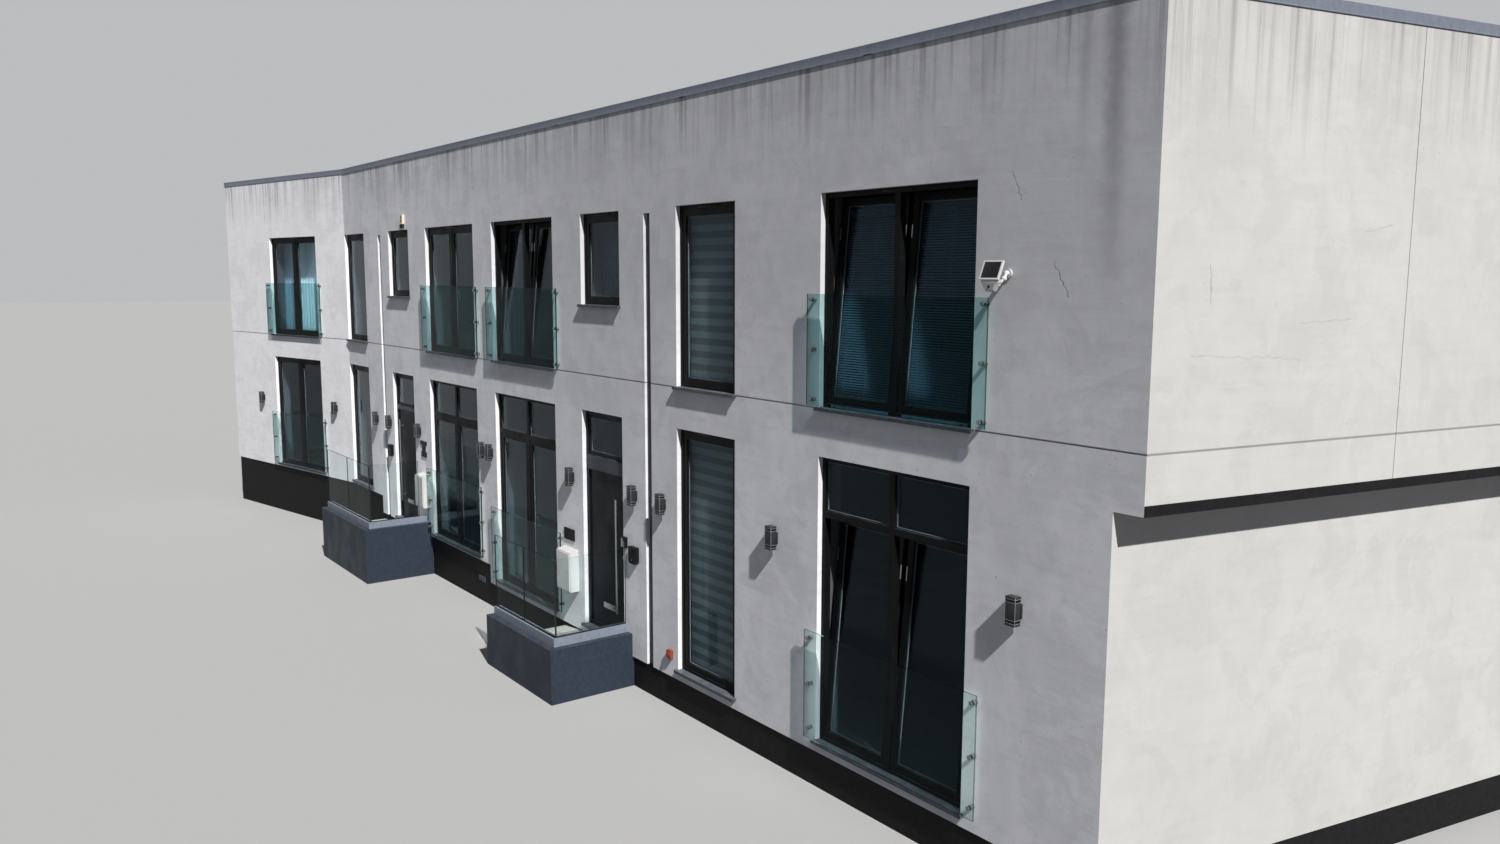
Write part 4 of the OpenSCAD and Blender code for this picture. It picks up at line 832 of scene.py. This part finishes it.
rods = Part()
hung = sorted(framed("curtains"), key=lambda pair: pair[0].translation.x)
for at, size in hung:
    height, y = size.z - 0.014, size.y / 2
    rods.rod(at, (0, y, height), (size.x, y, height), 0.009)
    for x in (0.004, size.x - 0.004):
        rods.ball(at, (x, y, height), 0.0135)
    for x in (0.05, size.x - 0.05):
        rods.bar(at, (x - 0.008, 0.0, height - 0.012), (x + 0.008, y, height - 0.006), 0.002)
    for x in [0.03 + (size.x - 0.06) * i / 8 for i in range(9)]:
        rods.bar(at, (x - 0.001, y - 0.011, height - 0.022), (x + 0.001, y + 0.011, height + 0.011))
rods.piece("curtain_rods", "brushed_steel", "steel", replaces="curtains")
for number, (at, size) in enumerate(hung):
    left, right, split = 0.01, size.x - 0.01, size.x * WING_SPLIT
    if size.x > 1.0:
        curtain("curtain_wing_left", at, size, left, split, "blue_cloth", 11)
        curtain("curtain_wing_right", at, size, split + 0.02, right, "pale_cloth", 12)
    elif number < 3:
        curtain("curtain_middle_%d" % number, at, size, left, right, "dark_cloth", 20 + number)
    else:
        curtain("curtain_small_window", at, size, left, right, "dark_cloth", 31)

# %% [markdown]
# ## Wall lights
# Each up-and-down light is a back plate, a body, and a cap above and below, with dark glass between caps and body.
# It replaces the plain CAD light with rounded edges and thin pale strips on them, because edges are what catches the
# sun: the strips are painted highlights for that glint on the glossy bevels.

# %% Wall lights
LIGHT_CAP, LIGHT_BODY, BACK_DEPTH, HIGHLIGHT_STRIP = 0.020, 0.140, 0.018, 0.003
shells, lenses, highlight_trims = Part(), Part(), Part()
for at, size in framed("wall_lights"):
    left, right, front, upper = 0.006, size.x - 0.006, size.y - BACK_DEPTH, size.z - LIGHT_CAP
    foot, head = (size.z - LIGHT_BODY) / 2, (size.z + LIGHT_BODY) / 2
    for low, high, edge in ((foot, head, 0.005), (0, LIGHT_CAP, 0.003), (upper, size.z, 0.003)):
        shells.bar(at, (left, 0, low), (right, front, high), edge)
    shells.bar(at, (0, front - 0.001, foot + 0.012), (size.x, size.y, head - 0.012), 0.004)
    for low, high in ((LIGHT_CAP, foot), (head, upper)):
        lenses.bar(at, (left + 0.001, 0.001, low), (right - 0.001, front - 0.001, high), 0.001)
    # Pale strips at the cap lines and the front corners: painted highlights for the glint on the edges.
    for z in (LIGHT_CAP, foot - HIGHLIGHT_STRIP, head, upper - HIGHLIGHT_STRIP):
        highlight_trims.bar(at, (left - 0.0004, -0.0004, z), (right + 0.0004, front, z + HIGHLIGHT_STRIP), 0.0008)
    for x in (left, right):
        highlight_trims.bar(at, (x - 0.0018, -0.0006, 0.001), (x + 0.0018, 0.0030, size.z - 0.001), 0.001)
    for z in (foot + 0.03, head - 0.03):
        highlight_trims.rod(at, (0.0035, front - 0.003, z), (0.0035, front, z), 0.0028, 10)
shells.piece("wall_light_boxes", "light_metal", replaces="wall_lights")
lenses.piece("wall_light_glasses", "smoked_glass", "black_plastic")
highlight_trims.piece("wall_light_highlight_trims", "highlight_paint", "steel")

# %% [markdown]
# ## Solar lamp and alarm box
# The lamp beside the right-hand window carries a black solar cell in a white rim, an arm with ball joints and a
# head with dark lenses. The alarm box has two dark windows and a dark rounded block below it, which copies the dark
# underside of the box. Their places are written as in the CAD source.

# %% Lamp and alarm
lamp = Matrix.Translation((9.743, FRONT_Y, 4.985))
PANEL_SIZE, PANEL_LEAN, PANEL_RIM = Vector((0.19, 0.018, 0.155)), math.radians(22), 0.011
panel = lamp @ Matrix.Translation((-PANEL_SIZE.x / 2, -0.165 - PANEL_SIZE.y, -0.046)) @ \
    Matrix.Rotation(-PANEL_LEAN, 4, "X")
cell, shell, eye = Part(), Part(), Part()
shell.bar(panel, (0, 0, 0), tuple(PANEL_SIZE), 0.004)
shell.ring(panel, PANEL_SIZE, 0.0, 0.012, -0.003, 0.004)
cell.bar(panel, (PANEL_RIM, -0.0012, PANEL_RIM), (PANEL_SIZE.x - PANEL_RIM, 0.004, PANEL_SIZE.z - PANEL_RIM), 0.0005)
HEAD_TOP, HEAD_FOOT, HEAD_Y = 0.046, 0.136, -0.148
corners = ((-1, -0.7), (-0.8, -1), (0.8, -1), (1, -0.7), (1, 0.7), (0.8, 1), (-0.8, 1), (-1, 0.7))
head_rings = [[lamp @ Vector((x * half_x, HEAD_Y + y * half_y, -z)) for x, y in corners] for z, half_x, half_y in
              ((HEAD_TOP, 0.084, 0.032), (HEAD_TOP + 0.022, 0.080, 0.034), (HEAD_FOOT - 0.01, 0.046, 0.026),
               (HEAD_FOOT, 0.040, 0.020))]
for above, below in zip(head_rings, head_rings[1:]):
    shell.prism(above, below)
joints = (0.045, -0.030, 0.0), (0.070, -0.085, -0.040), (0.052, -0.130, -0.085)
for joint, radius in zip(joints, (0.022, 0.021, 0.019)):
    shell.ball(lamp, joint, radius)
shell.rod(lamp, (0.045, 0.0, 0.0), (0.045, -0.012, 0.0), 0.034, 28)
for start, end, radius in (((0.045, -0.001, 0.0), joints[0], 0.014), (joints[0], joints[1], 0.012),
                           (joints[1], joints[2], 0.012)):
    shell.rod(lamp, start, end, radius)
for x in (-0.022, 0.0, 0.022):
    eye.rod(lamp, (x, HEAD_Y, -HEAD_FOOT + 0.004), (x, HEAD_Y, -HEAD_FOOT - 0.002), 0.009, 16)
eye.ball(lamp, (0.0, HEAD_Y - 0.028, -0.100), 0.012)
cell.piece("solar_cell", "solar_black", "black_plastic")
shell.piece("solar_lamp_shell", "white_plastic", replaces="security_light")
eye.piece("lamp_lenses", "smoked_glass", "black_plastic")

alarm = Matrix.Translation((-3.148, FRONT_Y, 5.808))
windows, dark_underpart = Part(), Part()
for z in (0.030, 0.088):
    windows.bar(alarm, (-0.036, -0.0395, z), (0.006, -0.036, z + 0.044), 0.001)
# A dark rounded block under the alarm box, copying its dark underside.
dark_underpart.bar(alarm, (-0.0405, -0.0395, -0.0685), (0.0405, -0.0005, -0.0008), 0.003)
dark_underpart.rod(alarm, (0, -0.038, -0.0685), (0, -0.038, -0.0008), 0.0215, 28)
windows.piece("alarm_windows", "smoked_glass", "black_plastic")
dark_underpart.piece("alarm_dark_underpart", "black_plastic")

# %% [markdown]
# ## Ironmongery of the doors
# Each leaf gets a round lock plate with its cylinder, a flap with a finger bar on the letter plate and a drip bar
# at its foot. They ride on the leaf's own body, so they swing with it. The left door mirrors the right one.

# %% Door pieces
LOCK_INSET, LOCK_HEIGHT = 0.055, 1.02
for side_name, sign in (("right", 1), ("left", -1)):
    low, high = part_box("door_leaf_" + side_name)
    body = "door_" + side_name
    hinge_edge, lock_x = (low[0], high[0] - LOCK_INSET) if sign > 0 else (high[0], low[0] + LOCK_INSET)
    plain = Matrix.Translation((0, low[1], low[2]))
    locks, flaps, drip = Part(), Part(), Part()
    locks.rod(plain, (lock_x, 0.001, LOCK_HEIGHT), (lock_x, -0.008, LOCK_HEIGHT), 0.027, 32)
    locks.rod(plain, (lock_x, -0.008, LOCK_HEIGHT), (lock_x, -0.013, LOCK_HEIGHT), 0.0085)
    left = min(hinge_edge + sign * 0.317, hinge_edge + sign * 0.607)
    flaps.bar(plain, (left + 0.012, -0.0095, 0.289), (left + 0.278, -0.0045, 0.337), 0.002)
    flaps.bar(plain, (left + 0.020, -0.0125, 0.291), (left + 0.270, -0.0090, 0.296), 0.001)
    drip.bar(plain, (low[0] + 0.010, -0.0100, 0.012), (high[0] - 0.010, 0.001, 0.036), 0.004)
    locks.piece("door_lock_" + side_name, "brushed_steel", "steel", body=body)
    flaps.piece("letter_flap_" + side_name, "brushed_steel", "steel", body=body)
    drip.piece("door_drip_bar_" + side_name, "door_metal", body=body)

# %% [markdown]
# ## Covers of the transom boxes
# Over each leaf the frame carries a shallow box. Its folded cover is a little paler than the frame and has a
# sloping top edge. The bottom rails of the outer upper window show a painted strip in each groove.

# %% Transom covers and rail strips
COVER_TOP, COVER_FACE, COVER_BACK = 2.715, -0.107, -0.094
STRIP_Y, STRIP_Z = -0.0955, 3.735
covers, strips = Part(), Part()
for side_name in ("right", "left"):
    low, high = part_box("door_leaf_" + side_name)
    foot, front = high[2] + 0.008, COVER_FACE - 0.0015
    outline = ((front, foot), (front, COVER_TOP - 0.014), (COVER_FACE + 0.012, COVER_TOP), (COVER_BACK, COVER_TOP),
               (COVER_BACK, foot))
    covers.prism(*([Vector((x, y, z)) for y, z in outline] for x in (low[0] - 0.004, high[0] + 0.004)))
for blind, extent in blinds:
    strip = Matrix.Translation((blind.translation.x, STRIP_Y, STRIP_Z))
    strips.bar(strip, (0.05, 0, 0.016), (extent.x - 0.03, 0.002, 0.042), 0.0008)
covers.piece("transom_covers", "transom_metal", "door_metal")
strips.piece("rail_strips", "strip_metal", "frame_metal")

# %% [markdown]
# ## Small boxes on the wall
# Meter boxes have a hinged door with a small cam lock, post boxes a lid with a turned-down edge, the bell panel a
# lens and plain keys, and the plate beside it a rim.

# %% Boxes, keypad and plates
cams, hinges, lids, keys, plate_rims = Part(), Part(), Part(), Part(), Part()
for at, size in framed("meter_boxes"):
    cams.rod(at, (size.x - 0.045, 0.002, size.z * 0.47), (size.x - 0.045, -0.003, size.z * 0.47), 0.009)
    for z in (0.09, size.z - 0.13):
        hinges.bar(at, (0.016, -0.003, z), (0.030, 0.004, z + 0.05), 0.002)
for at, size in framed("post_boxes"):
    lids.bar(at, (0.0005, -0.0035, size.z - 0.052), (size.x - 0.0005, 0.004, size.z - 0.0005), 0.002)
    lids.bar(at, (0.045, -0.0065, size.z - 0.062), (size.x - 0.045, 0.001, size.z - 0.050), 0.002)
    cams.rod(at, (size.x / 2, 0.002, 0.05), (size.x / 2, -0.0025, 0.05), 0.007, 18)
plates = sorted(framed("door_plates"), key=lambda pair: -pair[0].translation.x)
at, size = plates[0]
keys.bar(at, (0.014, -0.0022, 0.014), (size.x - 0.040, 0.001, size.z - 0.014), 0.001)
for x in (size.x - 0.031, size.x - 0.017):
    for z in (0.022 + row * 0.016 for row in range(4)):
        keys.bar(at, (x, -0.002, z), (x + 0.010, 0.001, z + 0.010), 0.001)
plate_rims.rod(at, (size.x - 0.019, 0.001, size.z - 0.030), (size.x - 0.019, -0.004, size.z - 0.030), 0.010, 24)
at, size = plates[1]
plate_rims.ring(at, size, 0.0, 0.009, -0.003, 0.001)
plate_rims.bar(at, (0.009, -0.0015, size.z * 0.62), (size.x - 0.009, 0.001, size.z * 0.65))
cams.piece("box_locks", "brushed_steel", "steel")
hinges.piece("meter_box_hinges", "white_plastic")
lids.piece("post_box_lids", "black_plastic")
keys.piece("bell_panel_keys", "brushed_steel", "steel")
plate_rims.piece("plate_rims", "black_plastic")

# %% [markdown]
# ## Socket at the foot of the wall
# The red socket box has a round flap with a lip, a cable gland below it and two screws.

# %% Socket parts
at, size = framed("socket_box")[0]
flap, gland = Part(), Part()
x, z = size.x / 2, size.z / 2
flap.rod(at, (x, 0.0035, z), (x, -0.003, z), 0.027, 32)
flap.bar(at, (x - 0.012, -0.006, z - 0.032), (x + 0.012, 0.002, z - 0.022), 0.002)
gland.rod(at, (x, 0.030, 0.001), (x, 0.030, -0.016), 0.011, 18)
for x, z in ((0.010, 0.010), (size.x - 0.010, size.z - 0.010)):
    gland.rod(at, (x, 0.012, z), (x, 0.0085, z), 0.0035, 12)
flap.piece("socket_flap", "red_plastic")
gland.piece("socket_gland", "black_plastic")

# %% [markdown]
# ## Wedges of the platform glass, and pipe collars
# The glass of the entrance platforms is held by black rubber wedges on both sides, and its upright edges are
# sealed with dark lines. The rain pipes are square lengths pushed together, with a collar at each joint.

# %% Glass wedges and collars
WEDGE_HEIGHT, WEDGE_DEPTH, EDGE_SEAL = 0.010, 0.006, 0.0028
wedges = Part()
for at, size in framed("plinth_glass_right plinth_glass_left"):
    if size.x <= size.y:
        at = at @ Matrix.Translation((size.x, 0, 0)) @ Matrix.Rotation(math.pi / 2, 4, "Z")
        size = Vector((size.y, size.x, size.z))
    for near, far in ((-WEDGE_DEPTH, 0.0), (size.y, size.y + WEDGE_DEPTH)):
        wedges.bar(at, (0, near, 0), (size.x, far, WEDGE_HEIGHT), 0.0015)
    for near, far in ((-EDGE_SEAL, 0.0), (size.x, size.x + EDGE_SEAL)):
        wedges.bar(at, (near, 0, 0), (far, size.y, size.z))
wedges.piece("glass_wedges", "rubber", "black_plastic")

collars = Part()
for at, size in framed("rainwater_pipes"):
    for part_height in (0.36, 0.78):
        z = size.z * part_height
        collars.bar(at, (-0.005, -0.005, z), (size.x + 0.005, size.y, z + 0.075), 0.003)
        collars.bar(at, (-0.008, -0.003, z + 0.028), (size.x + 0.008, size.y, z + 0.048), 0.002)
collars.piece("pipe_collars", "pipe_paint", "frame_metal")

# %% [markdown]
# ## Coping in lengths
# Coping comes in folded lengths of about three metres, which butt over straps with a narrow gap. Their lower edge
# is rolled outwards to shed the rain. The CAD coping gives the corners; each side is divided into equal lengths,
# and one channel profile is swept along every length.

# %% Coping
COPING_LENGTH, COPING_GAP, STRAP_WIDTH, ACROSS = 3.0, 0.004, 0.10, 0.318
coping_low, coping_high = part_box("coping")
COPING_HEIGHT = coping_high[2] - coping_low[2]
SHELL_FOOT = COPING_HEIGHT / 2
top_points = [point for points in solids("coping") for point in points if point.z > coping_high[2] - 0.001]
yard = Vector((0, 3.35, coping_high[2]))
pairs = []
for point in top_points:
    partner = min((other for other in top_points if other is not point), key=lambda other: (other - point).length)
    if (point - yard).length > (partner - yard).length:
        pairs.append((point, partner))
pairs.sort(key=lambda pair: math.atan2(pair[0].y - yard.y, pair[0].x - yard.x))


def channel(inset, fall):
    """The outline of the folded metal as (distance from the outer line, height above the foot)."""
    skin, high, back = 0.003, COPING_HEIGHT - fall, ACROSS - inset
    return [(0, 0), (0, 0.007), (inset, 0.010), (inset, high - 0.005), (inset + 0.005, high),
            (back - 0.005, high - 0.004), (back, high - 0.009), (back, 0), (back - skin, 0),
            (back - skin, SHELL_FOOT + 0.001), (inset + skin, SHELL_FOOT + 0.001), (inset + skin, 0)]


coping, straps = Part(), Part()
for (outer_a, inner_a), (outer_b, inner_b) in zip(pairs, pairs[1:] + pairs[:1]):
    run = outer_b - outer_a
    inner_run = (inner_b - inner_a).normalized()
    count = max(1, round(run.length / COPING_LENGTH))

    def section(share, inset, fall):
        """The channel at a share of this side; the ends of the side are mitred."""
        outer = outer_a + run * share
        inner = inner_a + inner_run * (outer - inner_a).dot(inner_run)
        if share in (0, 1):
            outer, inner = ((outer_a, inner_a), (outer_b, inner_b))[int(share)]
        return [outer + (inner - outer) * (q / ACROSS) + Vector((0, 0, z - COPING_HEIGHT))
                for q, z in channel(inset, fall)]

    gap = COPING_GAP / 2 / run.length
    strap = STRAP_WIDTH / 2 / run.length
    for number in range(count):
        start = number / count + (gap if number else 0.0)
        end = (number + 1) / count - (gap if number < count - 1 else 0.0)
        coping.prism(section(start, 0.0012, 0.0), section(end, 0.0012, 0.0))
        if number:
            seat = number / count
            straps.prism(section(seat - strap, 0.0035, 0.003), section(seat + strap, 0.0035, 0.003))
coping.piece("coping_lengths", "coping_metal", replaces="coping")
straps.piece("coping_straps", "coping_metal")

# %% [markdown]
# ## Roof covering
# The roof can be seen when the part is turned. It is felt in wide sheets with lapped seams, and with an upstand of
# the same felt against the parapet.

# %% Roof felt
SEAM_WIDTH, SEAM_HEIGHT, SHEET_WIDTH, UPSTAND, FELT = 0.09, 0.004, 1.0, 0.16, 0.005
FIRST_SEAM, SEAM_END = 0.9, 0.03
roof_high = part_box("roof_slab")[1]
roof_level = roof_high[2]
inner_loop = [Vector((inner.x, inner.y, 0)) for _, inner in pairs]
parapet = list(zip(inner_loop, inner_loop[1:] + inner_loop[:1]))


def crossings(y):
    """Where a line along the street meets the inner edge of the parapet."""
    found = [a.x + (b.x - a.x) * (y - a.y) / (b.y - a.y) for a, b in parapet if (a.y - y) * (b.y - y) < 0]
    return min(found), max(found)


felt = Part()
y = FIRST_SEAM
while y < roof_high[1] - 0.4:
    start, end = crossings(y)
    felt.bar(Matrix.Identity(4), (start + SEAM_END, y, roof_level - 0.001),
             (end - SEAM_END, y + SEAM_WIDTH, roof_level + SEAM_HEIGHT))
    y += SHEET_WIDTH
for a, b in parapet:
    run = (b - a).normalized()
    inwards = Vector((-run.y, run.x, 0))
    near, far = inwards * 0.012, inwards * (0.012 + FELT)
    felt.prism(*([point + Vector((0, 0, height)) for point in (a + near, a + far, b + far, b + near)]
                 for height in (roof_level, roof_level + UPSTAND)))
felt.piece("roof_felt_seams", "roofing_felt", "base_band")

# %% [markdown]
# ## Floor
# The floor is one wide sheet at the level of the lowest ground, and not part of the houses. The camera, metal and
# glass see it paler than it is, again through the Light Path node, so it throws little light up at the walls.

# %% Floor
FLOOR_COLOUR, FLOOR_SEEN, FLOOR_REACH = (0.120, 0.120, 0.125), (0.33, 0.33, 0.327), 220.0
floor_mesh = bpy.data.meshes.new("floor")
floor_mesh.from_pydata([(x * FLOOR_REACH, y * FLOOR_REACH, 0) for x, y in ((-1, -1), (1, -1), (1, 1), (-1, 1))],
                       [], [(0, 1, 2, 3)])
floor = bpy.data.objects.new("floor", floor_mesh)
scene.collection.objects.link(floor)
coat = Coat("pale_floor", roughness=0.9, specular=0.1)
coat["Base Color"] = coat.blend(coat.looked_at(), FLOOR_COLOUR, FLOOR_SEEN)
floor_mesh.materials.append(coat.material)
